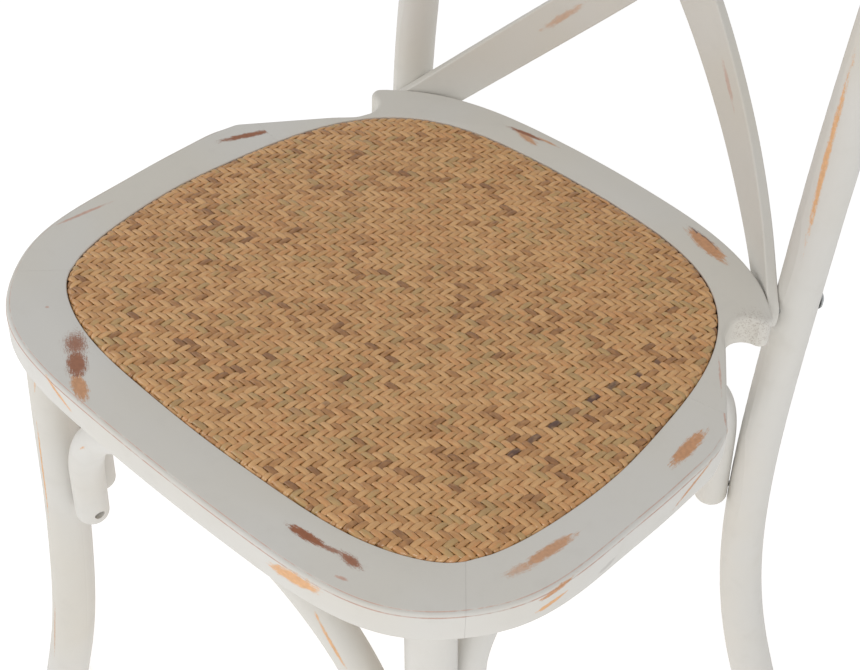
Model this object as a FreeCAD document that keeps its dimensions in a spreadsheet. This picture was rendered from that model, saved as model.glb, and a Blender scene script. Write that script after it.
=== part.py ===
import FreeCAD, Part
import os
import math
from FreeCAD import Vector as V, Rotation, Placement

# Cross back dining chair: bentwood back hoop, two crossed flat slats, a curved top rail,
# a jointed seat frame with a woven insert, two front legs and three bentwood arches.
# Millimetres, +Z up, the front of the seat faces -Y, floor at Z = 0, X = 0 is the mirror plane.

os.makedirs("parts", exist_ok=True)
doc = FreeCAD.newDocument("cross_back_chair")

sheet = doc.addObject("Spreadsheet::Sheet", "Dims")
DIMS = [
    ("seat_top", 460.0), ("frame_thick", 22.0), ("rabbet_deep", 13.0), ("datum_shift", -44.33),
    ("edge_round", 3.5), ("ear_round", 6.5), ("under_round", 2.0),
    ("leg_top_rad", 15.0), ("leg_foot_rad", 17.1), ("tenon_rad", 10.0), ("tenon_long", 14.0),
    ("post_rad", 15.8), ("post_foot_rad", 17.0), ("glide_high", 4.0), ("glide_rad", 12.0),
    ("arch_rad", 12.0), ("arch_end", 206.1), ("arch_drop", 34.3), ("end_round", 6.0),
    ("slat_wide", 31.0), ("slat_thick", 7.6), ("rail_high", 58.0), ("rail_thick", 10.0),
    ("board_thick", 10.8), ("mat_thick", 3.2), ("mat_proud", 1.2), ("mat_skirt", 10.0), ("crown_high", 412.0),
    ("bolt_rad", 3.0), ("head_rad", 7.0), ("nut_rad", 5.0), ("screw_rad", 2.0), ("screw_head", 4.0),
    ("dowel_rad", 4.0), ("fit_gap", 0.1),
]
D = {}
for i, (name, val) in enumerate(DIMS, start=1):
    sheet.set("A%d" % i, name)
    sheet.set("B%d" % i, "%g" % val)
    sheet.setAlias("B%d" % i, name)
    D[name] = val
doc.recompute()

TOP = D["seat_top"]
YD = D["datum_shift"]
GAP = D["fit_gap"]
subparts = []


def keep(obj, label):
    obj.Label = label
    subparts.append(obj)
    return obj


def plane(body, role):
    for o in body.Origin.OriginFeatures:
        if o.Role == role:
            return o
    raise RuntimeError(role)


def new_body(name):
    return doc.addObject("PartDesign::Body", name)


def sketch(body, name, role, offset=None):
    s = body.newObject("Sketcher::SketchObject", name)
    s.AttachmentSupport = [(plane(body, role), "")]
    s.MapMode = "FlatFace"
    if offset is not None:
        s.AttachmentOffset = offset
    return s


def cylinder(name, rad, high, rad_expr=None, high_expr=None):
    c = doc.addObject("Part::Cylinder", name)
    c.Radius = rad
    c.Height = high
    if rad_expr:
        c.setExpression("Radius", rad_expr)
    if high_expr:
        c.setExpression("Height", high_expr)
    return c


def along(p, d):
    """Placement that puts the local Z axis at p pointing along d."""
    return Placement(p, Rotation(V(0, 0, 1), V(d)))


def W(x, y, z):
    """Seat coordinates (z = 0 at the seat top) to the part frame."""
    return V(x, y + YD, z + TOP)


def spline(pts, t0=None, t1=None):
    c = Part.BSplineCurve()
    if t0 is not None:
        c.interpolate(Points=pts, InitialTangent=t0, FinalTangent=t1)
    else:
        c.interpolate(pts)
    return c


def at(table, z):
    """Piecewise cubic through (z, value) pairs, sorted by z."""
    n = len(table)
    zs = [a for a, b in table]
    vs = [b for a, b in table]
    m = []
    for i in range(n):
        if i == 0:
            m.append((vs[1] - vs[0]) / (zs[1] - zs[0]))
        elif i == n - 1:
            m.append((vs[-1] - vs[-2]) / (zs[-1] - zs[-2]))
        else:
            m.append((vs[i + 1] - vs[i - 1]) / (zs[i + 1] - zs[i - 1]))
    z = min(max(z, zs[0]), zs[-1])
    for i in range(n - 1):
        if z <= zs[i + 1] + 1e-9:
            break
    d = zs[i + 1] - zs[i]
    t = (z - zs[i]) / d
    return ((2 * t**3 - 3 * t**2 + 1) * vs[i] + (t**3 - 2 * t**2 + t) * d * m[i]
            + (-2 * t**3 + 3 * t**2) * vs[i + 1] + (t**3 - t**2) * d * m[i + 1])


# ---------------------------------------------------------------- back hoop centre line
POST_X = [(-460, 192.4), (-360, 177.2), (-260, 169.2), (-160, 168.8), (-60, 172.2), (0, 174.0),
          (40, 174.5), (140, 175.8), (280, 178.6)]
POST_Y = [(-460, 248.5), (-360, 224.7), (-260, 209.5), (-160, 202.2), (-60, 200.0), (0, 201.8),
          (40, 204.5), (140, 215.6), (280, 238.2), (412, 264.0)]


POST_R = [(-456, 17.0), (-300, 15.9), (-130, 14.8), (20, 15.05), (280, 15.5)]


def post_y(z):
    return at(POST_Y, z)


def post_r(z):
    return at(POST_R, z)


def post_dy(z):
    return (post_y(z + 1.0) - post_y(z - 1.0)) / 2.0


FOOT = -TOP + D["glide_high"]
hoop_half = [(at(POST_X, z), post_y(z), z) for z in (FOOT, -400, -340, -270, -200, -130, -60, 0, 60, 120, 180, 230, 275)]
CR = D["crown_high"] - D["post_rad"] + 0.0
hoop_half += [(176.5, post_y(312), 312.0), (166.0, post_y(346), 346.0), (145.0, post_y(373), 373.0),
              (112.0, post_y(389), 389.5), (60.0, post_y(396) + 1.0, CR - 0.6), (0.0, post_y(396) + 2.0, CR)]
hoop_pts = [W(*p) for p in hoop_half] + [W(-p[0], p[1], p[2]) for p in hoop_half[-2::-1]]

# ---------------------------------------------------------------- surface that the slats follow
ZR = 290.0          # height of the top rail's middle above the seat
SLAT_X = 144.9      # where a slat's middle line crosses the seat's level


def lerp(a, b, t):
    return a + (b - a) * min(max(t, 0.0), 1.0)


def slat_g(x, z):
    t = (z - 150.0) / (ZR - 150.0)
    r = lerp(232.0, 306.0, t)
    g0 = lerp(51.0, 33.5 + (D["rail_thick"] + D["slat_thick"]) / 2.0 + GAP, t)
    lim = 150.0
    if abs(x) > lim and z < 150.0:      # the lower ends run straight past the ears
        c = math.sqrt(r * r - lim * lim)
        return g0 - (r - c) - (abs(x) - lim) * lim / c
    return g0 - (r - math.sqrt(r * r - x * x))


def rail_g(x, z=0.0):
    return 33.5 - (306.0 - math.sqrt(306.0**2 - x * x))


def surf_normal(g, x, z):
    e = 0.5
    gx = (g(x + e, z) - g(x - e, z)) / (2 * e)
    gz = (g(x, z + e) - g(x, z - e)) / (2 * e) + post_dy(z)
    n = V(-gx, 1.0, -gz)
    n.normalize()
    return n


def slat_centre(side, z, lay):
    """Centre of a slat at height z; side +1 starts at the right ear; lay +1 passes behind at the crossing."""
    x = SLAT_X - 0.964 * z
    p = V(side * x, post_y(z) + slat_g(x, z), z)
    n = surf_normal(slat_g, x, z)
    n = V(side * n.x, n.y, n.z)
    off = lay * (D["slat_thick"] / 2.0 + GAP) * math.exp(-(x / 62.0)**2)
    return p + n * off, n


# ---------------------------------------------------------------- seat frame outline
def fillet_poly(verts):
    """Open chain of (x, y, r) vertices to tangent lines and arcs."""
    out = []
    last = V(verts[0][0], verts[0][1], 0)
    for i in range(1, len(verts) - 1):
        a = V(verts[i - 1][0], verts[i - 1][1], 0)
        b = V(verts[i][0], verts[i][1], 0)
        c = V(verts[i + 1][0], verts[i + 1][1], 0)
        r = verts[i][2]
        u = (a - b); u.normalize()
        w = (c - b); w.normalize()
        half = math.acos(max(-1.0, min(1.0, u.dot(w)))) / 2.0
        t = r / math.tan(half)
        p = b + u * t
        q = b + w * t
        bis = u + w
        bis.normalize()
        ctr = b + bis * (r / math.sin(half))
        m = ctr - bis * r
        if (p - last).Length > 1e-6:
            out.append(Part.LineSegment(last, p))
        out.append(Part.Arc(p, m, q))
        last = q
    e = V(verts[-1][0], verts[-1][1], 0)
    if (e - last).Length > 1e-6:
        out.append(Part.LineSegment(last, e))
    return out


SIDE = [(221.6, 52.0), (224.2, 30.0), (225.0, 0.0), (224.6, -40.0), (223.4, -82.0), (216.6, -116.0), (199.5, -146.5),
        (167.0, -175.6), (129.5, -188.2), (70.0, -193.4), (0.0, -194.6)]
REAR = [(160.5, 182.5), (148.0, 191.0), (129.5, 199.8), (99.3, 208.6), (50.0, 214.4), (0.0, 216.0)]
EAR = [(221.6, 52.0, 0), (217.6, 64.0, 14.0), (164.6, 133.8, 22.0), (156.4, 157.6, 13.0), (185.6, 158.9, 6.0),
       (173.0, 171.9, 18.0), (160.5, 182.5, 0)]


def mirror_pts(pts):
    return [V(x, y, 0) for x, y in pts] + [V(-x, y, 0) for x, y in pts[-2::-1]]


def outline_curves():
    right = fillet_poly(EAR)
    left = fillet_poly([(-x, y, r) for x, y, r in EAR])
    s = mirror_pts(SIDE)
    u = (V(217.6, 64.0, 0) - V(221.6, 52.0, 0)); u.normalize()
    front = spline(s, V(-u.x, -u.y, 0) * 1.0, V(-u.x, u.y, 0) * 1.0)
    r = mirror_pts(REAR)
    w = (V(160.5, 182.5, 0) - V(173.0, 171.9, 0)); w.normalize()
    rear = spline(r, w, V(w.x, -w.y, 0))
    return [front, rear] + right + left


def chop(c, first, step):
    """Points along a curve, in the order that starts nearest to first."""
    n = max(1, int(round(c.length() / step)))
    q = [c.value(c.parameterAtDistance(c.length() * i / n, c.FirstParameter)) for i in range(n + 1)]
    if (q[0] - first).Length > (q[-1] - first).Length:
        q.reverse()
    return q


def outline_spline():
    """One smooth closed curve round the whole seat, from its arcs and lines."""
    front, rear = outline_curves()[:2]
    half = front.length() / 2.0
    pts = [front.value(front.parameterAtDistance(half * (22 - i) / 22.0, front.FirstParameter)) for i in range(22)]
    last = V(221.6, 52.0, 0)
    for c in fillet_poly(EAR):
        q = chop(c, last, 3.0 if isinstance(c, Part.Arc) or "Arc" in type(c).__name__ else 9.0)
        last = q[-1]
        pts += q[:-1]
    half = rear.length() / 2.0
    pts += [rear.value(rear.parameterAtDistance(half * i / 12.0, rear.FirstParameter)) for i in range(13)]
    c = Part.BSplineCurve()
    c.interpolate(Points=pts + [V(-q.x, q.y, 0) for q in pts[-2:0:-1]], PeriodicFlag=True)
    return c


INS = [(0.0, -157.8), (61.7, -156.0), (117.0, -149.8), (148.1, -139.2), (169.7, -123.8), (181.7, -99.6), (189.6, -56.0),
       (191.2, -6.0), (187.4, 32.0), (179.2, 80.0), (167.0, 116.6), (153.0, 139.8), (126.5, 163.8), (92.4, 177.6),
       (46.0, 184.0), (0.0, 185.6)]


def closed_spline(half, inset=0.0):
    pts = [V(x, y, 0) for x, y in half] + [V(-x, y, 0) for x, y in half[-2:0:-1]]
    if inset:
        n = len(pts)
        moved = []
        for i in range(n):
            d = pts[(i + 1) % n] - pts[i - 1]
            d.normalize()
            nrm = V(-d.y, d.x, 0)
            moved.append(pts[i] + nrm * inset)
        pts = moved
    c = Part.BSplineCurve()
    c.interpolate(Points=pts, PeriodicFlag=True)
    return c


GROOVE = 1.0         # gap round the insert
LEDGE = 26.0         # width of the ledge that carries the board

# joint lines of the seat frame, (inner end, outer end), right hand side
J_FRONT = ((165.0, -110.4), (209.0, -158.0))
J_REAR = ((168.0, 68.0), (226.0, 79.0))


def wedge(kind):
    """Closed outline that keeps one segment of the ring."""
    fi, fo = J_FRONT
    ri, ro = J_REAR
    k = 0.05
    if kind == "front":
        return [(-fo[0] - 20, fo[1] - 21.6 - k), (-fi[0] + 30, fi[1] + 32.4 - k), (fi[0] - 30, fi[1] + 32.4 - k),
                (fo[0] + 20, fo[1] - 21.6 - k), (fo[0] + 20, -260), (-fo[0] - 20, -260)]
    if kind == "rear":
        return [(-ro[0] - 20, ro[1] + 3.8 + k), (-ri[0] + 40, ri[1] - 7.6 + k), (ri[0] - 40, ri[1] - 7.6 + k),
                (ro[0] + 20, ro[1] + 3.8 + k), (ro[0] + 20, 280), (-ro[0] - 20, 280)]
    pts = [(fo[0] + 20, fo[1] - 21.6 + k), (fi[0] - 30, fi[1] + 32.4 + k), (ri[0] - 40, ri[1] - 7.6 - k),
           (ro[0] + 20, ro[1] + 3.8 - k)]
    if kind == "right":
        return pts
    return [(-x, y) for x, y in pts]


def poly_edges(pts):
    v = [V(x, y, 0) for x, y in pts]
    return [Part.LineSegment(v[i], v[(i + 1) % len(v)]) for i in range(len(v))]


LEG_X = [(-460, 224.5), (-380, 202.8), (-320, 191.2), (-220, 180.8), (-120, 177.2), (-22, 172.7)]
LEG_Y = -146.0


def frame_segment(kind, label):
    b = new_body("frame_" + kind)
    b.Placement = Placement(V(0, YD, TOP - D["frame_thick"]), Rotation())
    b.Placement.Base.z
    b.setExpression("Placement.Base.z", "Dims.seat_top - Dims.frame_thick")
    b.setExpression("Placement.Base.y", "Dims.datum_shift")
    s = sketch(b, kind + "_ring", "XY_Plane")
    for g in outline_curves():
        s.addGeometry(g, False)
    s.addGeometry(closed_spline(INS, LEDGE), False)
    pad = b.newObject("PartDesign::Pad", kind + "_pad")
    pad.Profile = s
    pad.Length = D["frame_thick"]
    pad.setExpression("Length", "Dims.frame_thick")
    s.Visibility = False
    doc.recompute()
    # keep only this segment: everything outside the wedge goes
    t = sketch(b, kind + "_trim", "XY_Plane")
    for g in poly_edges([(-400, -400), (400, -400), (400, 400), (-400, 400)]) + poly_edges(wedge(kind)):
        t.addGeometry(g, False)
    cut = b.newObject("PartDesign::Pocket", kind + "_cut")
    cut.Profile = t
    cut.Type = "ThroughAll"
    cut.Midplane = True
    doc.recompute()
    # rabbet that holds the insert
    r = sketch(b, kind + "_rabbet", "XY_Plane", Placement(V(0, 0, D["frame_thick"]), Rotation()))
    r.setExpression("AttachmentOffset.Base.z", "Dims.frame_thick")
    r.addGeometry(closed_spline(INS, -GROOVE), False)
    rb = b.newObject("PartDesign::Pocket", kind + "_rabbet_cut")
    rb.Profile = r
    rb.Length = D["rabbet_deep"]
    rb.setExpression("Length", "Dims.rabbet_deep")
    doc.recompute()
    return b, rb


def round_edges(b, base, name, expr, size, test):
    names = []
    for i, e in enumerate(base.Shape.Edges, start=1):
        if test(e):
            names.append("Edge%d" % i)
    if not names:
        return base
    f = b.newObject("PartDesign::Fillet", name)
    f.Base = (base, names)
    f.Radius = size
    doc.recompute()
    if f.Shape.isNull() or not f.Shape.isValid() or "Invalid" in f.State:
        b.removeObject(f)
        doc.removeObject(f.Name)
        doc.recompute()
        print("left sharp:", name)
        return base
    f.setExpression("Radius", expr)
    doc.recompute()
    return f


def on_level(e, z):
    return abs(e.BoundBox.ZMin - z) < 1e-3 and abs(e.BoundBox.ZMax - z) < 1e-3


def ring_edge(e, z):
    """A level edge of the ring's outer outline."""
    if not on_level(e, z):
        return False
    m = e.valueAt((e.FirstParameter + e.LastParameter) / 2.0)
    inner = Part.Face(Part.Wire([Part.Edge(closed_spline(INS, -2.0))]))
    return not inner.isInside(V(m.x, m.y, 0), 1e-3, True)


def drilled(base, label, tools):
    """Base piece with its drilled holes and notches taken out."""
    if not tools:
        return keep(base, label)
    m = doc.addObject("Part::Compound", label + "_holes")
    m.Links = tools
    c = doc.addObject("Part::Cut", label + "_drilled")
    c.Base = base
    c.Tool = m
    base.Visibility = False
    doc.recompute()
    return keep(c, label)


def bore(name, p, d, rad_expr, high, start=0.0):
    d = V(d)
    d.normalize()
    c = doc.addObject("Part::Cylinder", name)
    c.setExpression("Radius", rad_expr)
    c.Height = high
    c.Placement = along(p + d * start, d)
    return c


def turned(name, prof, p, d):
    """Turned fastener: prof is a chain of (radius, depth) with an optional arc through a middle point."""
    b = new_body(name)
    s = sketch(b, name + "_section", "XZ_Plane")
    pts = [V(q[0], q[1], 0) for q in prof]
    i = 0
    geo = []
    while i < len(pts) - 1:
        if len(prof[i]) > 2:
            geo.append(Part.Arc(pts[i], V(prof[i][2], prof[i][3], 0), pts[i + 1]))
        else:
            geo.append(Part.LineSegment(pts[i], pts[i + 1]))
        i += 1
    geo.append(Part.LineSegment(pts[-1], pts[0]))
    for g in geo:
        s.addGeometry(g, False)
    r = b.newObject("PartDesign::Revolution", name + "_turn")
    r.Profile = s
    r.ReferenceAxis = (s, ["V_Axis"])
    r.Angle = 360.0
    b.Placement = along(p, d)
    return b


def group(label, objs):
    c = doc.addObject("Part::Compound", label + "_set")
    c.Links = objs
    return keep(c, label)


def dome_bolt(name, p, d, length):
    R1, R2 = D["head_rad"], D["bolt_rad"]
    return turned(name, [(0, -4.4, R1 * 0.62, -3.4), (R1, -0.6), (R1, 0), (R2, 0), (R2, length), (0, length)], p, d)


def flat_screw(name, p, d, length):
    R1, R2 = D["screw_head"] - 0.4, D["screw_rad"]
    return turned(name, [(0, 0), (R1, 0), (R1, 0.6), (R2, 2.6), (R2, length - 3), (0.4, length), (0, length)], p, d)


# ================================================================ seat frame
ZB = D["frame_thick"]          # local height of the frame's top
segs = {}
for kind in ("front", "rear", "left", "right"):
    segs[kind] = frame_segment(kind, "seat_frame_" + kind)[0]

# ================================================================ joints, dowels, bolts
MID = -11.0
dowels = []
dowel_tools = {"front": [], "rear": [], "left": [], "right": []}
for side, seg in ((1, "right"), (-1, "left")):
    for j, (ends, spots, other) in enumerate((
            (J_FRONT, ((10.0, 7.0, 15.0), (27.5, 7.0, 15.0)), "front"),
            (J_REAR, ((8.0, 12.0, 12.0), (19.5, 7.0, 14.0)), "rear"))):
        a = V(ends[0][0], ends[0][1], 0)
        c = V(ends[1][0], ends[1][1], 0)
        u = c - a
        u.normalize()
        start = {0: 9.0, 1: 12.8}[j]          # from the inner end of the line to the insert's edge
        nrm = V(-u.y, u.x, 0)                 # towards the rear
        for k, (t, deep_other, deep_side) in enumerate(spots):
            q = a + u * (start + t)
            if other == "front":
                p0, p1 = q - nrm * deep_other, q + nrm * deep_side
            else:
                p0, p1 = q - nrm * deep_side, q + nrm * deep_other
            p0 = W(side * p0.x, p0.y, MID)
            p1 = W(side * p1.x, p1.y, MID)
            tag = "%s_%s%d" % (seg, other, k)
            dw = doc.addObject("Part::Cylinder", "dowel_" + tag)
            dw.setExpression("Radius", "Dims.dowel_rad")
            dw.Height = (p1 - p0).Length
            dw.Placement = along(p0, p1 - p0)
            dowels.append(dw)
            for w in (other, seg):
                h = bore("dowelhole_%s_%s" % (tag, w), p0, p1 - p0, "Dims.dowel_rad + Dims.fit_gap", (p1 - p0).Length + 1.0, -0.5)
                dowel_tools[w].append(h)

BA = math.radians(21.0)
post_c = V(at(POST_X, MID), post_y(MID), MID)
SEATD = 14.4                    # head seat distance from the post's axis
bolts, washers, nuts = [], [], []
hoop_tools, ear_tools = [], []
slat_tools = {1: [], -1: []}
for side in (1, -1):
    d = V(-side * math.sin(BA), -math.cos(BA), 0)
    c = W(side * post_c.x, post_c.y, post_c.z)
    head = c - d * SEATD
    s = "r" if side > 0 else "l"
    bolts.append(dome_bolt("hoop_bolt_" + s, head - d * 1.2, d, 58.0))
    washers.append(turned("hoop_washer_" + s, [(D["bolt_rad"] + 0.2, 0), (8.0, 0), (8.0, 1.2), (D["bolt_rad"] + 0.2, 1.2)], head - d * 1.2, d))
    spot = bore("spot_" + s, head, d * -1, "8.3 * 1 mm", 12.0)
    hoop_tools += [bore("bolthole_h" + s, head - d * 6, d, "Dims.bolt_rad + Dims.fit_gap", 50.0), spot]
    slat_tools[side].append(bore("bolthole_s" + s, head - d * 2, d, "Dims.bolt_rad + Dims.fit_gap", 60.0))
    ear_tools.append(bore("bolthole_e" + s, head - d * 2, d, "Dims.bolt_rad + Dims.fit_gap", 62.0))
    n0 = c + d * 34.0
    nb = doc.addObject("Part::Cylinder", "nut_core_" + s)
    nb.setExpression("Radius", "Dims.nut_rad")
    nb.Height = 16.0
    nb.Placement = Placement(V(n0.x, n0.y, TOP - 21.5), Rotation())
    nc = bore("nut_thread_" + s, head, d, "Dims.bolt_rad + 0.02", 70.0)
    nn = doc.addObject("Part::Cut", "hoop_nut_" + s)
    nn.Base = nb
    nn.Tool = nc
    nuts.append(nn)
    ear_tools.append(bore("nuthole_" + s, V(n0.x, n0.y, TOP - 24.0), V(0, 0, 1), "Dims.nut_rad + Dims.fit_gap", 18.7))
doc.recompute()

# ================================================================ front legs
leg_pts_top = -D["frame_thick"]


def leg_x(z):
    return at(LEG_X, z)


leg_body = {}
for side, nm in ((1, "right"), (-1, "left")):
    b = new_body("leg_" + nm)
    b.Placement = Placement(V(0, LEG_Y + YD, 0), Rotation())
    b.setExpression("Placement.Base.y", "%g + Dims.datum_shift" % LEG_Y)
    s = sketch(b, nm + "_leg_line", "XZ_Plane")
    zs = [-22.0 - 0.15, -80, -140, -200, -260, -320, -380, -420, FOOT]
    s.addGeometry(spline([V(side * leg_x(z), z + TOP, 0) for z in zs]), False)
    q = sketch(b, nm + "_leg_top", "XY_Plane", Placement(V(side * leg_x(zs[0]), 0, zs[0] + TOP), Rotation()))
    ci = q.addGeometry(Part.Circle(V(0, 0, 0), V(0, 0, 1), D["leg_top_rad"]), False)
    r = sketch(b, nm + "_leg_foot", "XY_Plane", Placement(V(side * leg_x(FOOT), 0, FOOT + TOP), Rotation()))
    r.addGeometry(Part.Circle(V(0, 0, 0), V(0, 0, 1), D["leg_foot_rad"]), False)
    doc.recompute()
    ap = b.newObject("PartDesign::AdditivePipe", nm + "_leg_bend")
    ap.Profile = q
    ap.Spine = (s, ["Edge1"])
    ap.Sections = [r]
    ap.Transformation = "Multisection"
    ap.Mode = "Standard"
    doc.recompute()
    t = sketch(b, nm + "_tenon_line", "XY_Plane", Placement(V(side * leg_x(-22.0), 0, TOP - 24.0), Rotation()))
    t.addGeometry(Part.Circle(V(0, 0, 0), V(0, 0, 1), D["tenon_rad"]), False)
    tp = b.newObject("PartDesign::Pad", nm + "_tenon")
    tp.Profile = t
    tp.Length = D["tenon_long"] + 2.0
    tp.setExpression("Length", "Dims.tenon_long + 2")
    doc.recompute()
    leg_body[nm] = b
mortises = [bore("mortise_" + nm, W(side * leg_x(-22.0), LEG_Y, -26.0), V(0, 0, 1), "Dims.tenon_rad + Dims.fit_gap", D["tenon_long"] + 4.3)
            for side, nm in ((1, "right"), (-1, "left"))]


# ================================================================ arches
ARCH_Z = -D["arch_end"]
AR = D["arch_rad"]
T = 0.25                                 # clearance between rods that rest against each other


def arch_line(h, flare, zt, ze, beta, r1, r2):
    """Half of an arch's centre line in its own plane, from the crown outwards: (u, v) chains of curves."""
    b = math.radians(beta)
    e = math.pi / 2 - math.radians(flare)      # direction of the end part
    x1, z1 = r1 * math.sin(b), zt - r1 * (1 - math.cos(b))
    m1 = (r1 * math.sin(b / 2), zt - r1 * (1 - math.cos(b / 2)))
    # shoulder arc: the run turns from b to e below the horizontal
    dx = r2 * (math.sin(e) - math.sin(b))
    dz = r2 * (math.cos(e) - math.cos(b))
    # end: x1 + s cos b + dx + q cos e = h ; z1 - s sin b + dz - q sin e = ze
    a11, a12, c1 = math.cos(b), math.cos(e), h - x1 - dx
    a21, a22, c2 = math.sin(b), math.sin(e), z1 + dz - ze
    det = a11 * a22 - a12 * a21
    s = (c1 * a22 - a12 * c2) / det
    q = (a11 * c2 - a21 * c1) / det
    p1 = (x1, z1)
    p2 = (x1 + s * math.cos(b), z1 - s * math.sin(b))
    mid = (b + e) / 2
    m2 = (p2[0] + r2 * (math.sin(mid) - math.sin(b)), p2[1] + r2 * (math.cos(mid) - math.cos(b)))
    p3 = (p2[0] + dx, p2[1] + dz)
    p4 = (h, ze)
    return m1, p1, p2, m2, p3, p4, s, q


def make_arch(name, pa, pb, crown, bend_a, bend_b):
    """Bent round rod between two end points (x, y, z) with its crown above the middle.
    crown is the sideways shift of the crown from the straight line, outwards; a bend is the slope next
    to the crown, the shoulder's radius and the lean of the end, in degrees and mm."""
    a = V(pa[0], pa[1], 0)
    c = V(pb[0], pb[1], 0)
    base = pa[2]
    mid = (a + c) * 0.5
    u = c - a
    h = u.Length / 2.0
    u.normalize()
    up_len = -base - D["arch_drop"]
    nrm = V(0, 0, 1).cross(u)
    tilt = math.atan2(crown, up_len)
    # local frame: X along u, Z up the tilted plane
    zdir = V(0, 0, 1) * math.cos(tilt) + nrm * -1.0 * math.sin(tilt)
    b = new_body(name)
    rot = Rotation(u, zdir.cross(u), zdir, "ZXY")
    b.Placement = Placement(V(mid.x, mid.y + YD, base + TOP), rot)
    k = 1.0 / math.cos(tilt)
    sk = sketch(b, name + "_line", "XZ_Plane")
    ra = arch_line(h, bend_b[2], -D["arch_drop"], pb[2], bend_b[0], 50.0, bend_b[1])
    la = arch_line(h, bend_a[2], -D["arch_drop"], pa[2], bend_a[0], 50.0, bend_a[1])

    def P(q, sgn):
        return V(sgn * q[0], (q[1] - base) * k, 0)
    top = V(0, (-D["arch_drop"] - base) * k, 0)
    geo = [Part.LineSegment(P(la[5], -1), P(la[4], -1)), Part.Arc(P(la[4], -1), P(la[3], -1), P(la[2], -1))]
    if la[6] > 0.05:
        geo.append(Part.LineSegment(P(la[2], -1), P(la[1], -1)))
    geo.append(Part.Arc(P(la[1], -1), P(la[0], -1), top))
    geo.append(Part.Arc(top, P(ra[0], 1), P(ra[1], 1)))
    if ra[6] > 0.05:
        geo.append(Part.LineSegment(P(ra[1], 1), P(ra[2], 1)))
    geo += [Part.Arc(P(ra[2], 1), P(ra[3], 1), P(ra[4], 1)), Part.LineSegment(P(ra[4], 1), P(ra[5], 1))]
    for g in geo:
        sk.addGeometry(g, False)
    f0 = math.radians(bend_a[2])
    # round section square to the rod's first end
    pr = sketch(b, name + "_section", "XY_Plane", Placement(V(P(la[5], -1).x, 0, P(la[5], -1).y), Rotation(V(0, 1, 0), math.degrees(f0))))
    pr.addGeometry(Part.Circle(V(0, 0, 0), V(0, 0, 1), D["arch_rad"]), False)
    doc.recompute()
    ap = b.newObject("PartDesign::AdditivePipe", name + "_bend")
    ap.Profile = pr
    ap.Spine = (sk, ["Edge%d" % (i + 1) for i in range(len(geo))])
    ap.Mode = "Frenet"
    doc.recompute()
    names = []
    tips = [V(P(la[5], -1).x, 0, P(la[5], -1).y), V(P(ra[5], 1).x, 0, P(ra[5], 1).y)]
    for i, e in enumerate(ap.Shape.Edges, start=1):
        if e.Closed and min((e.BoundBox.Center - t).Length for t in tips) < 2.0:
            names.append("Edge%d" % i)
    if names:
        fl = b.newObject("PartDesign::Fillet", name + "_ends")
        fl.Base = (ap, names)
        fl.Radius = D["end_round"]
        doc.recompute()
        if fl.Shape.isNull() or not fl.Shape.isValid() or "Invalid" in fl.State:
            b.removeObject(fl)
            doc.removeObject(fl.Name)
            doc.recompute()
            print("square ends:", name)
        else:
            fl.setExpression("Radius", "Dims.end_round")
    else:
        print("no end edges:", name)
    doc.recompute()
    return b


def leg_r(z):
    return lerp(D["leg_top_rad"], D["leg_foot_rad"], (-22.0 - z) / (-22.0 - FOOT))


def beside(side, kind, z, az):
    """Centre of an arch end at height z that rests against a leg or post, az from -Y towards +X."""
    cx, cy, r = (leg_x(z), LEG_Y, leg_r(z)) if kind == "leg" else (at(POST_X, z), post_y(z), post_r(z))
    a = math.radians(az)
    return (side * cx + (r + AR + T) * math.sin(a), cy - (r + AR + T) * math.cos(a), z)


def flip(p):
    return (-p[0], p[1], p[2])


fr_in = beside(-1, "leg", ARCH_Z + 7.6, 94.3)       # front arch, left end
sd_fr = beside(1, "leg", ARCH_Z, 185.8)             # right side arch, front end
sd_rr = beside(1, "post", ARCH_Z - 5.0, -57.8)      # right side arch, rear end
FRONT_BEND = (5.0, 134.6, 11.2)
SIDE_FRONT_BEND = (4.9, 49.3, 0.0)
SIDE_REAR_BEND = (2.4, 124.0, 5.4)
arches = {}
arches["front"] = make_arch("front_arch", fr_in, flip(fr_in), 20.7, FRONT_BEND, FRONT_BEND)
arches["right"] = make_arch("right_arch", sd_fr, sd_rr, 1.0, SIDE_FRONT_BEND, SIDE_REAR_BEND)
arches["left"] = make_arch("left_arch", flip(sd_rr), flip(sd_fr), 1.0, SIDE_REAR_BEND, SIDE_FRONT_BEND)

# ================================================================ hoop
def circle_wire(p, d, r):
    return Part.Wire([Part.Circle(p, d, r).toShape()])


hoop_curve = spline(hoop_pts)
hoop_edge = hoop_curve.toShape()
spine = Part.Wire([hoop_edge])
mk = Part.BRepOffsetAPI.MakePipeShell(spine)
mk.setFrenetMode(False)
stations = []
for z, r in [(FOOT, D["post_foot_rad"])] + POST_R[1:3]:
    for sgn in (1, -1):
        stations.append((V(sgn * at(POST_X, z), post_y(z), z), r))
stations.append((V(0, post_y(396) + 2.0, CR), D["post_rad"]))
params = []
for q, r in stations:
    t = hoop_curve.parameter(W(q.x, q.y, q.z))
    params.append((t, r))
for t, r in sorted(params):
    mk.add(circle_wire(hoop_curve.value(t), hoop_curve.tangent(t)[0], r), False, False)
mk.build()
mk.makeSolid()
hoop_shape = mk.shape()
# flat feet
cut = Part.makeBox(800, 800, 60, V(-400, -400, D["glide_high"] - 60))
hoop_shape = hoop_shape.cut(cut)
hoop = doc.addObject("Part::Feature", "hoop_bend")
hoop.Shape = hoop_shape
print("hoop", hoop.Shape.isValid(), round(hoop.Shape.Volume), hoop.Shape.BoundBox)

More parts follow.
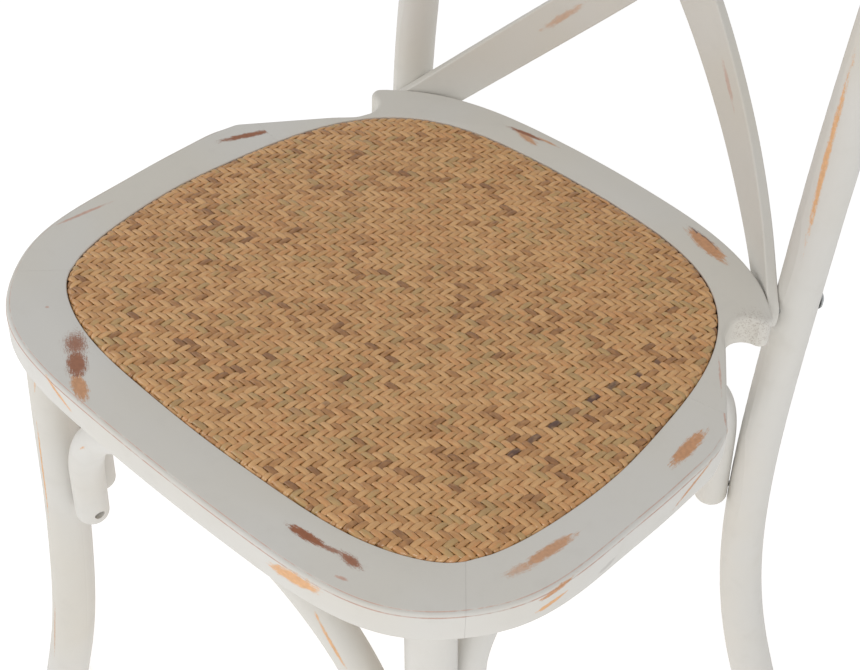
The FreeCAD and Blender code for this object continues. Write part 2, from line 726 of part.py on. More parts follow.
# ================================================================ slats and rail
def plate_section(c, n, t, wide, thick, r):
    """Rounded rectangle across a bent strip; n is its face normal and t its run."""
    n = n - t * n.dot(t)
    n.normalize()
    bdir = n.cross(t)
    a, h = wide / 2.0, thick / 2.0
    def q(u, v):
        return c + bdir * u + n * v
    k = r * (1 - math.sqrt(0.5))
    e = [Part.LineSegment(q(-a + r, -h), q(a - r, -h)), Part.Arc(q(a - r, -h), q(a - k, -h + k), q(a, -h + r)),
         Part.LineSegment(q(a, -h + r), q(a, h - r)), Part.Arc(q(a, h - r), q(a - k, h - k), q(a - r, h)),
         Part.LineSegment(q(a - r, h), q(-a + r, h)), Part.Arc(q(-a + r, h), q(-a + k, h - k), q(-a, h - r)),
         Part.LineSegment(q(-a, h - r), q(-a, -h + r)), Part.Arc(q(-a, -h + r), q(-a + k, -h + k), q(-a + r, -h))]
    return Part.Wire([g.toShape() for g in e])


def slat_solid(side, lay, thick, grow=0.0):
    secs = []
    zs = [-36.0, -22.0, -6.0, 12.0, 32.0, 54.0, 76.0, 96.0, 114.0, 130.0, 145.0, 160.0, 175.0, 192.0, 212.0, 234.0, 256.0, 276.0, 292.0, 306.0]
    for z in zs:
        c, n = slat_centre(side, z, lay)
        c1 = slat_centre(side, z + 0.5, lay)[0]
        c0 = slat_centre(side, z - 0.5, lay)[0]
        t = c1 - c0
        t.normalize()
        secs.append(plate_section(W(c.x, c.y, c.z), n, t, D["slat_wide"] + grow, thick, 1.2))
    body = Part.makeLoft(secs, True, False)
    # half-round lower end, eased upper end
    for z0, sgn, rad in ((-14.0, -1.0, (D["slat_wide"] + grow) / 2.0), (290.0, 1.0, (D["slat_wide"] + grow) / 2.0)):
        c, n = slat_centre(side, z0, lay)
        c1 = slat_centre(side, z0 + 0.5, lay)[0]
        c0 = slat_centre(side, z0 - 0.5, lay)[0]
        t = c1 - c0
        t.normalize()
        n = n - t * n.dot(t)
        n.normalize()
        out = t * sgn
        p = W(c.x, c.y, c.z)
        m = FreeCAD.Matrix()
        bd = n.cross(out)
        box = Part.makeBox(60, 80, 40, V(0, -40, -20))
        cyl = Part.makeCylinder(rad, 50, V(0, 0, -25), V(0, 0, 1))
        tool = box.cut(cyl)
        m = FreeCAD.Matrix(out.x, bd.x, n.x, p.x, out.y, bd.y, n.y, p.y, out.z, bd.z, n.z, p.z, 0, 0, 0, 1)
        tool = tool.transformGeometry(m)
        body = body.cut(tool)
    return body


slats = {}
for side, lay, nm in ((1, 1, "right"), (-1, -1, "left")):
    f = doc.addObject("Part::Feature", "slat_bend_" + nm)
    f.Shape = slat_solid(side, lay, D["slat_thick"])
    slats[side] = f
    print("slat", nm, f.Shape.isValid(), round(f.Shape.Volume), f.Shape.BoundBox)
    g = doc.addObject("Part::Feature", "slat_housing_" + nm)
    g.Shape = slat_solid(side, lay, D["slat_thick"] + 2 * GAP, 2 * GAP)
    hoop_tools.append(g)


def rail_solid(grow=0.0):
    secs = []
    xs = [-181, -176, -160, -135, -105, -70, -35, 0, 35, 70, 105, 135, 160, 176, 181]
    for x in xs:
        f = 1.0 - (abs(x) / 181.0)**2.2 * 0.16
        n = surf_normal(rail_g, x, ZR)
        gx = (rail_g(x + 0.5) - rail_g(x - 0.5))
        t = V(1.0, gx, 0)
        t.normalize()
        c = W(x, post_y(ZR) + rail_g(x), ZR)
        secs.append(plate_section(c, n, t, (D["rail_high"]) * f + grow, D["rail_thick"] + grow, 2.2))
    return Part.makeLoft(secs, True, False)


rail = doc.addObject("Part::Feature", "rail_bend")
rail.Shape = rail_solid()
print("rail", rail.Shape.isValid(), round(rail.Shape.Volume), rail.Shape.BoundBox)
rh = doc.addObject("Part::Feature", "rail_housing")
rh.Shape = rail_solid(2 * GAP)
hoop_tools.append(rh)

# ================================================================ screws
arch_tools = {"front": [], "left": [], "right": []}
leg_tools = {"right": [mortises[0]], "left": [mortises[1]]}
leg_holes = {"right": [], "left": []}
ring_tools = {"front": [], "left": [], "right": [], "rear": []}
end_screws, crown_screws, rail_bolts, rail_washers = [], [], [], []

ends = []
UP = 11.5                                # height of an end screw above the rod's end
for side, nm in ((1, "right"), (-1, "left")):
    for an, p, az in (("front", flip(fr_in) if side > 0 else fr_in, -75.0 * side), (nm, (side * sd_fr[0], sd_fr[1], sd_fr[2]), 180.0),
                      (nm, (side * sd_rr[0], sd_rr[1], sd_rr[2]), -38.0 * side)):
        into = "hoop" if p[1] > 0 and an == nm else "leg_" + nm
        ends.append((an, V(p[0], p[1], p[2]), az, into))
for i, (an, p0, az, into) in enumerate(ends):
    a = math.radians(az)
    d = V(-math.sin(a), math.cos(a), 0)            # from the rod into the leg
    head = W(p0.x, p0.y, p0.z + UP) - d * (AR - 6.5)
    end_screws.append(flat_screw("end_screw_%d" % i, head, d, 32.0))
    arch_tools[an] += [bore("endhole_%d" % i, head, d, "Dims.screw_rad + Dims.fit_gap", 45.0),
                       bore("endsink_%d" % i, head + d * 2.8, d * -1.0, "Dims.screw_head - 0.2", 16.0)]
    h = bore("endpilot_%d" % i, head, d, "Dims.screw_rad + Dims.fit_gap", 32.6)
    if into == "hoop":
        hoop_tools.append(h)
    else:
        leg_holes[into[4:]].append(h)

# crown screws, from below through the arch into the frame
for an in ("front", "left", "right"):
    b = arches[an]
    top = b.Placement.multVec(V(0, 0, 0))
    zdir = b.Placement.Rotation.multVec(V(0, 0, 1))
    k = (TOP - D["arch_drop"] - top.z) / zdir.z
    c = top + zdir * k
    head = c - V(0, 0, AR - 5.0)
    reach = 26.0 if an in ("front",) else 15.4
    crown_screws.append(flat_screw("crown_screw_" + an, head, V(0, 0, 1), reach))
    arch_tools[an] += [bore("crownhole_" + an, head, V(0, 0, 1), "Dims.screw_rad + Dims.fit_gap", 40.0),
                       bore("crownsink_" + an, head + V(0, 0, 2.8), V(0, 0, -1), "Dims.screw_head - 0.2", 16.0)]
    ring_tools[an].append(bore("crownpilot_" + an, head, V(0, 0, 1), "Dims.screw_rad + Dims.fit_gap", reach + 0.5))

# top rail bolts through the posts
rail_tools = []
for side, s1 in ((1, "r"), (-1, "l")):
    pc = V(side * at(POST_X, ZR), post_y(ZR), ZR)
    n = surf_normal(rail_g, 170.0, ZR)
    d = V(-side * n.x * 0.55, -1.0, 0)
    d.normalize()
    c = W(pc.x, pc.y, pc.z)
    head = c - d * SEATD
    rail_bolts.append(dome_bolt("rail_bolt_" + s1, head - d * 1.2, d, 35.0))
    rail_washers.append(turned("rail_washer_" + s1, [(D["bolt_rad"] + 0.2, 0), (8.0, 0), (8.0, 1.2), (D["bolt_rad"] + 0.2, 1.2)], head - d * 1.2, d))
    hoop_tools += [bore("railhole_" + s1, head - d * 6, d, "Dims.bolt_rad + Dims.fit_gap", 50.0), bore("railspot_" + s1, head, d * -1, "8.3 * 1 mm", 12.0)]
    rail_tools.append(bore("railhole2_" + s1, head - d * 2, d, "Dims.bolt_rad + Dims.fit_gap", 36.2))

# slat ends to the rail, from behind
slat_screws = []
for side in (1, -1):
    lay = 1 if side > 0 else -1
    c, n = slat_centre(side, 290.0, lay)
    head = W(c.x, c.y, c.z) + n * (D["slat_thick"] / 2.0)
    d = n * -1.0
    slat_screws.append(flat_screw("slat_screw_%d" % (side + 1), head, d, 14.5))
    slat_tools[side] += [bore("slathole_%d" % (side + 1), head + n * 2, d, "Dims.screw_rad + Dims.fit_gap", 30.0),
                         bore("slatsink_%d" % (side + 1), head + n * 2, d, "Dims.screw_head - 0.2", 4.7)]
    rail_tools.append(bore("slatpilot_%d" % (side + 1), head, d, "Dims.screw_rad + Dims.fit_gap", 14.9))
# crossing screw, from behind through both slats
zx = SLAT_X / 0.964
c, n = slat_centre(1, zx, 0)
head = W(c.x, c.y, c.z) + n * (D["slat_thick"] + GAP)
cross = flat_screw("cross_screw", head, n * -1.0, 13.0)
slat_tools[1] += [bore("crosshole_r", head + n * 2, n * -1.0, "Dims.screw_rad + Dims.fit_gap", 15.3), bore("crosssink", head + n * 2, n * -1.0, "Dims.screw_head - 0.2", 4.7)]
slat_tools[-1] += [bore("crosshole_l", head + n * 2, n * -1.0, "Dims.screw_rad + Dims.fit_gap", 15.3)]

# ================================================================ board, mat, board screws
b_board = new_body("board")
b_board.Placement = Placement(V(0, YD, TOP - D["rabbet_deep"]), Rotation())
b_board.setExpression("Placement.Base.z", "Dims.seat_top - Dims.rabbet_deep")
sk = sketch(b_board, "board_outline", "XY_Plane")
sk.addGeometry(closed_spline(INS, D["mat_thick"] + 0.2), False)
pd = b_board.newObject("PartDesign::Pad", "board_pad")
pd.Profile = sk
pd.Length = D["board_thick"]
pd.setExpression("Length", "Dims.board_thick")
doc.recompute()

b_mat = new_body("mat")
b_mat.Placement = Placement(V(0, YD, TOP + D["mat_proud"]), Rotation())
b_mat.setExpression("Placement.Base.z", "Dims.seat_top + Dims.mat_proud")
sk = sketch(b_mat, "mat_outline", "XY_Plane")
sk.addGeometry(closed_spline(INS, 0.0), False)
pd = b_mat.newObject("PartDesign::Pad", "mat_pad")
pd.Profile = sk
pd.Length = D["mat_skirt"] + D["mat_proud"]
pd.Reversed = True
doc.recompute()
tip = round_edges(b_mat, pd, "mat_edge", "Dims.mat_thick", D["mat_thick"], lambda e: on_level(e, 0.0))
sk2 = sketch(b_mat, "mat_hollow", "XY_Plane", Placement(V(0, 0, -(D["mat_skirt"] + D["mat_proud"])), Rotation()))
sk2.addGeometry(closed_spline(INS, D["mat_thick"]), False)
pk = b_mat.newObject("PartDesign::Pocket", "mat_hollow_cut")
pk.Profile = sk2
pk.Length = D["mat_skirt"] + D["mat_proud"] - D["mat_thick"]
pk.Reversed = True
doc.recompute()
print("mat", b_mat.Shape.isValid(), round(b_mat.Shape.Volume), b_mat.Shape.BoundBox)

board_screws, board_tools = [], []
for i, (x, y, seg) in enumerate(((40.0, -145.0, "front"), (-40.0, -145.0, "front"), (177.0, -25.0, "right"), (-177.0, -25.0, "left"),
                                 (95.0, 162.0, "rear"), (-95.0, 162.0, "rear"))):
    head = W(x, y, -D["frame_thick"])
    board_screws.append(flat_screw("board_screw_%d" % i, head, V(0, 0, 1), 16.0))
    ring_tools[seg] += [bore("boardhole_%d" % i, head - V(0, 0, 2), V(0, 0, 1), "Dims.screw_rad + Dims.fit_gap", 16.0),
                        bore("boardsink_%d" % i, head - V(0, 0, 2), V(0, 0, 1), "Dims.screw_head - 0.2", 4.7)]
    board_tools.append(bore("boardpilot_%d" % i, head, V(0, 0, 1), "Dims.screw_rad + Dims.fit_gap", 16.4))

# ================================================================ floor glides
glides = []
for side in (1, -1):
    for kind in ("leg", "hoop"):
        x, y = (leg_x(FOOT), LEG_Y) if kind == "leg" else (at(POST_X, FOOT), post_y(FOOT))
        q = V(side * x, y + YD, 0)
        gr = D["glide_rad"]
        tag = "%s_%s" % (kind, "r" if side > 0 else "l")
        glides.append(turned("glide_" + tag, [(0, 0), (gr - 1.2, 0, gr - 0.35, 0.35), (gr, 1.2), (gr, D["glide_high"]), (1.3, D["glide_high"]), (1.3, 15.0), (0, 17.0)], q, V(0, 0, 1)))
        h = bore("glidehole_" + tag, q, V(0, 0, 1), "1.4 * 1 mm", 18.0)
        if kind == "leg":
            leg_holes["right" if side > 0 else "left"].append(h)
        else:
            hoop_tools.append(h)
doc.recompute()

# ================================================================ finished pieces
drilled(hoop, "back_hoop", hoop_tools)
for nm in ("left", "right"):
    drilled(leg_body[nm], "front_leg_" + nm, leg_holes[nm])
ring_tools["front"] += mortises
ring_tools["rear"] += ear_tools
for nm in ("front", "left", "right", "rear"):
    drilled(segs[nm], "seat_frame_" + nm, ring_tools[nm] + dowel_tools[nm])
drilled(b_board, "seat_board", board_tools)
keep(b_mat, "rattan_mat")
drilled(slats[1], "cross_slat_right", slat_tools[1])
drilled(slats[-1], "cross_slat_left", slat_tools[-1])
drilled(rail, "top_rail", rail_tools)
for nm in ("front", "left", "right"):
    drilled(arches[nm], "arch_" + nm, arch_tools[nm])
group("frame_dowels", dowels)
group("hoop_bolts", bolts)
group("hoop_bolt_washers", washers)
group("hoop_barrel_nuts", nuts)
group("rail_bolts", rail_bolts)
group("rail_bolt_washers", rail_washers)
group("arch_end_screws", end_screws)
group("arch_crown_screws", crown_screws)
group("slat_end_screws", slat_screws)
keep(cross, "slat_crossing_screw")
group("board_screws", board_screws)
group("foot_glides", glides)
doc.recompute()

bad = []
for o in doc.Objects:
    if any(w in ("Invalid", "Error") for w in o.State):
        bad.append((o.Name, o.State))
for o in subparts:
    if o.Shape.isNull() or not o.Shape.isValid():
        bad.append((o.Label, "shape"))
if bad:
    raise RuntimeError("bad objects: %s" % bad)
for o in subparts:
    o.Shape.exportStep("parts/" + o.Label + ".step")
    print("%-22s solids %d vol %.0f" % (o.Label, len(o.Shape.Solids), o.Shape.Volume))
print("nodes", len(subparts))
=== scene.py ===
import math

import bpy
import numpy as np
from mathutils import Matrix, Vector


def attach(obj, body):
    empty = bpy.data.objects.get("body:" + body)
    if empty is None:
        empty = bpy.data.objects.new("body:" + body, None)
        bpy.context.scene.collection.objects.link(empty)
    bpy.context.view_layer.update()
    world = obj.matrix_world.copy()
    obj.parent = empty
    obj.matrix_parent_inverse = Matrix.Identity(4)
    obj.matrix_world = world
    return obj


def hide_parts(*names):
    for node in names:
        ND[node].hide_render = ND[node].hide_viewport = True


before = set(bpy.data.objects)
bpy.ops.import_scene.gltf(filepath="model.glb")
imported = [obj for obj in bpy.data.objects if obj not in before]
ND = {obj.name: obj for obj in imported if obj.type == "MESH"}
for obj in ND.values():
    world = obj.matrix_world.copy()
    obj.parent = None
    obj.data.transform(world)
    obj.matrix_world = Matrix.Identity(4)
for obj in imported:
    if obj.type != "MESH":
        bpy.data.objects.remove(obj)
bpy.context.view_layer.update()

# The seat's own coordinates are millimetres from the middle of the seat's top face.
# They are turned into metres of the row frame by ROW.
SHIFT_Y, SEAT_TOP = -44.33, 460.0


def ROW(p):
    p = np.asarray(p, float)
    return np.stack([p[..., 0], p[..., 1] + SHIFT_Y, p[..., 2] + SEAT_TOP], -1) / 1000.0


# ------------------------------------------------------------------ curves
def spline(pts, t0=None, t1=None, closed=False, step=0.8):
    """Cubic spline through points, evaluated about every step mm."""
    p = np.asarray(pts, float)
    if closed:
        p = np.vstack([p, p[:1]])
    h = np.linalg.norm(np.diff(p, axis=0), axis=1)
    u = np.concatenate([[0], np.cumsum(h)])
    n = len(p)
    a = np.zeros((n, n))
    b = np.zeros((n, 2))
    for i in range(1, n - 1):
        a[i, i - 1], a[i, i], a[i, i + 1] = h[i], 2 * (h[i - 1] + h[i]), h[i - 1]
        b[i] = 3 * (h[i] * (p[i] - p[i - 1]) / h[i - 1] + h[i - 1] * (p[i + 1] - p[i]) / h[i])
    if closed:
        a[0, 0], a[0, -1] = 1, -1
        a[-1, 0], a[-1, 1] = 2 * h[-1], h[-1]
        a[-1, -1], a[-1, -2] = 2 * h[0], h[0]
        b[-1] = 3 * (h[-1] * (p[1] - p[0]) / h[0] + h[0] * (p[-1] - p[-2]) / h[-1])
    else:
        a[0, 0] = a[-1, -1] = 1
        b[0], b[-1] = np.asarray(t0[:2], float), np.asarray(t1[:2], float)
    m = np.linalg.solve(a, b)
    out = []
    for i in range(n - 1):
        k = max(2, int(round(h[i] / step)))
        t = np.arange(k)[:, None] / k
        out.append((2 * t**3 - 3 * t**2 + 1) * p[i] + (t**3 - 2 * t**2 + t) * h[i] * m[i]
                   + (-2 * t**3 + 3 * t**2) * p[i + 1] + (t**3 - t**2) * h[i] * m[i + 1])
    if not closed:
        out.append(p[-1:])
    return np.vstack(out)


def filleted(verts, step=0.8):
    out = [np.array(verts[0][:2], float)]
    for i in range(1, len(verts) - 1):
        a, b, c = (np.array(verts[k][:2], float) for k in (i - 1, i, i + 1))
        r = verts[i][2]
        u = (a - b) / np.linalg.norm(a - b)
        w = (c - b) / np.linalg.norm(c - b)
        half = math.acos(max(-1, min(1, float(u @ w)))) / 2
        t = r / math.tan(half)
        p, q = b + u * t, b + w * t
        bis = (u + w) / np.linalg.norm(u + w)
        ctr = b + bis * (r / math.sin(half))
        a0 = math.atan2(*(p - ctr)[::-1])
        a1 = math.atan2(*(q - ctr)[::-1])
        d = (a1 - a0 + math.pi) % (2 * math.pi) - math.pi
        run = np.linalg.norm(p - out[-1])
        k = max(1, int(run / step))
        out += [out[-1] + (p - out[-1]) * j / k for j in range(1, k)]
        k = max(4, int(abs(d) * r / min(step, 0.6)))
        out += [ctr + r * np.array([math.cos(a0 + d * j / k), math.sin(a0 + d * j / k)]) for j in range(k + 1)]
    e = np.array(verts[-1][:2], float)
    run = np.linalg.norm(e - out[-1])
    k = max(1, int(run / step))
    base = out[-1]
    out += [base + (e - base) * j / k for j in range(1, k + 1)]
    return np.array(out)


SIDE = [(221.6, 52.0), (224.2, 30.0), (225.0, 0.0), (224.6, -40.0), (223.4, -82.0), (216.6, -116.0), (199.5, -146.5),
        (167.0, -175.6), (129.5, -188.2), (70.0, -193.4), (0.0, -194.6)]
REAR = [(160.5, 182.5), (148.0, 191.0), (129.5, 199.8), (99.3, 208.6), (50.0, 214.4), (0.0, 216.0)]
EAR = [(221.6, 52.0, 0), (217.6, 64.0, 14.0), (164.6, 133.8, 22.0), (156.4, 157.6, 13.0), (185.6, 158.9, 6.0),
       (173.0, 171.9, 18.0), (160.5, 182.5, 0)]
INS = [(0.0, -157.8), (61.7, -156.0), (117.0, -149.8), (148.1, -139.2), (169.7, -123.8), (181.7, -99.6), (189.6, -56.0),
       (191.2, -6.0), (187.4, 32.0), (179.2, 80.0), (167.0, 116.6), (153.0, 139.8), (126.5, 163.8), (92.4, 177.6),
       (46.0, 184.0), (0.0, 185.6)]
J_FRONT = ((165.0, -110.4), (209.0, -158.0))
J_REAR = ((168.0, 68.0), (226.0, 79.0))
GROOVE, LEDGE, THICK, RABBET = 1.0, 26.0, 22.0, 13.0


def mirrored(pts):
    return [tuple(p[:2]) for p in pts] + [(-p[0], p[1]) for p in pts[-2::-1]]


def unit(v):
    v = np.asarray(v, float)
    return v / np.linalg.norm(v)


# closed outline, anticlockwise: front half from left to right, right ear, rear, left ear
u0 = unit((217.6 - 221.6, 64.0 - 52.0))
front = spline(mirrored(SIDE), (-u0[0], -u0[1]), (-u0[0], u0[1]))[::-1]
ear_r = filleted(EAR)
w0 = unit((160.5 - 173.0, 182.5 - 171.9))
rear = spline(mirrored(REAR), w0, (w0[0], -w0[1]))
ear_l = ear_r[::-1] * [-1, 1]
OUT = np.vstack([front[:-1], ear_r[:-1], rear[:-1], ear_l[:-1]])


def tidy(c, least=0.12):
    """Leave out points that repeat the one before or step back along the curve."""
    keep = [c[0], c[1]]
    for q in c[2:]:
        d = q - keep[-1]
        if np.linalg.norm(d) > least and d @ (keep[-1] - keep[-2]) > 0:
            keep.append(q)
    return np.array(keep)


OUT = tidy(OUT)
INNER = spline([(x, y) for x, y in INS] + [(-x, y) for x, y in INS[-2:0:-1]], closed=True, step=1.0)


def outward(c):
    """Unit normals pointing out of a closed anticlockwise curve."""
    t = np.roll(c, -1, 0) - np.roll(c, 1, 0)
    t /= np.linalg.norm(t, axis=1)[:, None]
    n = np.stack([t[:, 1], -t[:, 0]], 1)
    for _ in range(2):
        n = (np.roll(n, 1, 0) + 2 * n + np.roll(n, -1, 0)) / 4
        n /= np.linalg.norm(n, axis=1)[:, None]
    return n


N_OUT, N_INN = outward(OUT), outward(INNER)


def mesh_object(name, verts, faces, smooth=True):
    me = bpy.data.meshes.new(name)
    me.from_pydata([tuple(v) for v in verts], [], [tuple(f) for f in faces])
    me.validate()
    me.update()
    if smooth:
        me.polygons.foreach_set("use_smooth", [True] * len(me.polygons))
    ob = bpy.data.objects.new(name, me)
    bpy.context.scene.collection.objects.link(ob)
    return ob


def attribute(ob, name, values, kind="FLOAT"):
    a = ob.data.attributes.new(name, kind, "POINT")
    values = np.asarray(values, np.float32)
    a.data.foreach_set("vector" if kind == "FLOAT_VECTOR" else "value", values.ravel())


# ------------------------------------------------------------------ seat frame, four segments
def cut_at(c, line, gap):
    """Where the curve crosses a joint line: (index before it, point). gap moves the line along its normal."""
    a, b = (np.asarray(q, float) for q in line)
    u = unit(b - a)
    nrm = np.array([-u[1], u[0]])
    a = a + nrm * gap
    s = (c - a) @ nrm
    along = (c - a) @ u
    nxt = np.roll(s, -1)
    hits = np.nonzero((s * nxt <= 0) & (along > -30) & (along < 90))[0]
    i = hits[np.argmin(np.abs(along[hits] - np.linalg.norm(b - np.asarray(line[0])) * 0.5))] if len(hits) else None
    j = (i + 1) % len(c)
    t = s[i] / (s[i] - s[j])
    return int(i), c[i] + (c[j] - c[i]) * t


def between(c, la, lb, ga, gb, pad):
    """Points of a closed curve from joint la round to joint lb, anticlockwise, ends exactly on the joints."""
    ia, pa = cut_at(c, la, ga)
    ib, pb = cut_at(c, lb, gb)
    n = len(c)
    run = (ib - ia) % n
    return ia, run, pa, pb


def ring_round(k_step, r):
    """Profile of the outer edge: (inset, height, wear) rows for arrays k_step and r."""
    rows = []
    b = 1.7
    rows.append((b + 0.9 + 0 * r, -THICK + 0 * r, 0))
    for t in (0.0, 22.0, 45.0, 68.0, 90.0):
        a = math.radians(t)
        rows.append((b * (1 - math.sin(a)) + 0 * r, -THICK + b * (1 - math.cos(a)) + 0 * r, 0))
    for f in (0.35, 0.7):
        lo, hi = -THICK + b, -(r + 0.62 * k_step)
        rows.append((0 * r, lo + (hi - lo) * f, 0))
    rows.append((0 * r, -(r + 0.75 * k_step + 0.05), 0.0))
    rows.append((0.03 * k_step, -(r + 0.42 * k_step), 1.0))
    s = 0.34 * k_step
    rows.append((s, -(r + 0.20 * k_step), 0.75))
    for t in (12, 30, 48, 66, 81):
        a = math.radians(t)
        rows.append((s + r * (1 - math.cos(a)), -s - r * (1 - math.sin(a)), 0.0))
    rows.append((s + r, -s + 0 * r, 0.55))
    rows.append((s + r + 0.16 * k_step + 0.01, -0.10 * k_step, 1.0))
    rows.append((s + r + 0.40 * k_step + 0.05, 0 * r, 0.35))
    rows.append((s + r + 0.95 * k_step + 0.10, 0 * r, 0.0))
    return rows


def blend_along(y, y0, y1):
    t = np.clip((y - y0) / (y1 - y0), 0, 1)
    return t * t * (3 - 2 * t)


y = OUT[:, 1]
x = np.abs(OUT[:, 0])
at_front = 1 - blend_along(y, 50.0, 66.0)
notch = blend_along(y, 118, 132) * (1 - blend_along(y, 160.5, 170.0)) * (x > 140)
K = 0.04 + 0.96 * at_front
RR = 2.25 * at_front + (1 - at_front) * (1.25 + 2.0 * notch)
for _ in range(12):
    RR = (np.roll(RR, 1) + 2 * RR + np.roll(RR, -1)) / 4
PROFILE = ring_round(K, RR)
LOOPS = [(OUT - N_OUT * np.asarray(d)[:, None] if np.ndim(d) else OUT - N_OUT * d, z * np.ones(len(OUT)), wear_and_shade * K) for d, z, wear_and_shade in PROFILE]


def relaxed(c):
    """Straighten the places where an inset row runs backwards against the outline."""
    c = c.copy()
    n = len(c)
    ref = np.roll(OUT, -1, 0) - OUT
    for _ in range(30):
        seg = np.roll(c, -1, 0) - c
        bad = np.nonzero((seg * ref).sum(1) <= 0.02 * (ref * ref).sum(1))[0]
        if not len(bad):
            break
        for i in bad:
            a, b = c[(i - 3) % n], c[(i + 4) % n]
            for k in range(-2, 4):
                c[(i + k) % n] = a + (b - a) * (k + 3) / 7.0
    return c


LOOPS = [(relaxed(c), z, wear_and_shade) for c, z, wear_and_shade in LOOPS]
# the third value is edge wear up to 1; 2.0 marks the groove wall for painted shade in the paint material
INNER_ROWS = [(GROOVE + 0.8, 0.0, 0.0), (GROOVE + 0.40, -0.09, 0.35), (GROOVE + 0.12, -0.36, 0.35),
              (GROOVE, -0.8, 0.0), (GROOVE, -1.2, 0.3), (GROOVE, -1.9, 2.0), (GROOVE, -RABBET, 2.0), (-LEDGE, -RABBET, 0.0), (-LEDGE, -THICK, 0.0)]
INNERS = [(INNER + N_INN * g, z, w) for g, z, w in INNER_ROWS]


def seat_segment(node, la, lb, ga, gb):
    pad = 5
    rows = []
    ia0, run0, _, _ = between(LOOPS[6][0], la, lb, ga, gb, pad)
    for c, z, wear_and_shade in LOOPS:
        _, _, pa, pb = between(c, la, lb, ga, gb, pad)
        ids = (ia0 + pad + np.arange(run0 - 2 * pad)) % len(c)
        xy = np.vstack([pa, c[ids], pb])
        zz = np.concatenate([[z[ids[0]]], z[ids], [z[ids[-1]]]])
        ww = np.concatenate([[wear_and_shade[ids[0]]], wear_and_shade[ids], [wear_and_shade[ids[-1]]]])
        rows.append((np.c_[xy, zz], ww))
    inner = []
    ja0, jrun0, _, _ = between(INNERS[2][0], la, lb, ga, gb, pad)
    for c, z, wear_and_shade in INNERS:
        _, _, pa, pb = between(c, la, lb, ga, gb, pad)
        # the ledge's inner loop turns in further, so its ends are cut back more
        keep = [(ja0 + k) % len(c) for k in range(jrun0)]
        xy = c[keep]
        u = unit(np.asarray(la[1], float) - la[0])
        v = unit(np.asarray(lb[1], float) - lb[0])
        na, nb = np.array([-u[1], u[0]]), np.array([-v[1], v[0]])
        if (xy[len(xy) // 2] - la[0]) @ na < 0:
            na = -na
        if (xy[len(xy) // 2] - lb[0]) @ nb < 0:
            nb = -nb
        ok = ((xy - la[0]) @ na > 1.5) & ((xy - lb[0]) @ nb > 1.5)
        inner.append((pa, xy, ok, pb, z, wear_and_shade))
    both = np.all([o[2] for o in inner], axis=0)
    inner = [(np.c_[np.vstack([pa, xy[both], pb]), np.full(both.sum() + 2, z)], np.full(both.sum() + 2, w)) for pa, xy, ok, pb, z, w in inner]
    verts = np.vstack([r[0] for r in rows] + [r[0] for r in inner])
    wear_and_shade = np.concatenate([r[1] for r in rows] + [r[1] for r in inner])
    n, m = len(rows[0][0]), len(inner[0][0])
    faces = []
    for k in range(len(rows) - 1):
        a, b = k * n, (k + 1) * n
        faces += [(a + i, a + i + 1, b + i + 1, b + i) for i in range(n - 1)]
    o = len(rows) * n
    for k in range(len(inner) - 1):
        a, b = o + k * m, o + (k + 1) * m
        faces += [(a + i, a + i + 1, b + i + 1, b + i) for i in range(m - 1)]
    top = [(len(rows) - 1) * n + i for i in range(n)] + [o + i for i in range(m)][::-1]
    last = o + (len(inner) - 1) * m
    bottom = [i for i in range(n)][::-1] + [last + i for i in range(m)]
    cap_a = [k * n for k in range(len(rows))][::-1] + [o + k * m for k in range(len(inner))][::-1]
    cap_b = [k * n + n - 1 for k in range(len(rows))] + [o + k * m + m - 1 for k in range(len(inner))]
    faces += [top, bottom, cap_a, cap_b]
    ob = mesh_object(node + "_wood", ROW(verts), faces)
    me = ob.data
    import bmesh
    bm = bmesh.new()
    bm.from_mesh(me)
    bmesh.ops.recalc_face_normals(bm, faces=bm.faces)
    bm.to_mesh(me)
    bm.free()
    attribute(ob, "edge_wear_and_shade", wear_and_shade)
    me.set_sharp_from_angle(angle=math.radians(40))
    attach(ob, "root")
    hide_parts(node)
    return ob


def left_line(line):
    return ((-line[0][0], line[0][1]), (-line[1][0], line[1][1]))


G = 0.035
seat = {}
seat["front"] = seat_segment("seat_frame_front", left_line(J_FRONT), J_FRONT, G, -G)
seat["right"] = seat_segment("seat_frame_right", J_FRONT, J_REAR, G, -G)
seat["rear"] = seat_segment("seat_frame_rear", J_REAR, left_line(J_REAR), G, -G)
seat["left"] = seat_segment("seat_frame_left", left_line(J_REAR), left_line(J_FRONT), G, -G)

# ------------------------------------------------------------------ woven cane
PITCH = 4.3172
ROLL = 2.9            # radius with which the weave turns down into the groove
SKIRT = 5.6           # how far it goes on down the side
TURN = math.radians(0.236)
LEAN = math.radians(3.836)
ASPECT = 0.9917
BASIS = np.array([[math.cos(TURN), -math.sin(TURN)], [math.sin(TURN), math.cos(TURN)]]) @ np.array(
    [[1.0, math.sin(LEAN) * ASPECT], [0.0, math.cos(LEAN) * ASPECT]]) * PITCH
ORIGIN = np.array([7.7623 * PITCH, 0.0])
PHASE = (0.0, 0.0)

# signed distance to the insert's outline on a 1.25 mm grid, positive inside
GX = np.arange(-206, 206.1, 1.25)
GY = np.arange(-174, 202.1, 1.25)
grid = np.stack(np.meshgrid(GX, GY, indexing="ij"), -1).reshape(-1, 2)
edge = INNER[::2]
edge_n = N_INN[::2]
near = np.empty(len(grid), int)
for s in range(0, len(grid), 4000):
    q = grid[s:s + 4000]
    d2 = (q[:, :1] - edge[None, :, 0])**2 + (q[:, 1:] - edge[None, :, 1])**2
    near[s:s + 4000] = d2.argmin(1)
rel = grid - edge[near]
side = -(rel * edge_n[near]).sum(1)
SD = (np.sign(side) * np.hypot(rel[:, 0], rel[:, 1]))
close = np.abs(SD) < 6
SD[close] = side[close]
SD = SD.reshape(len(GX), len(GY))


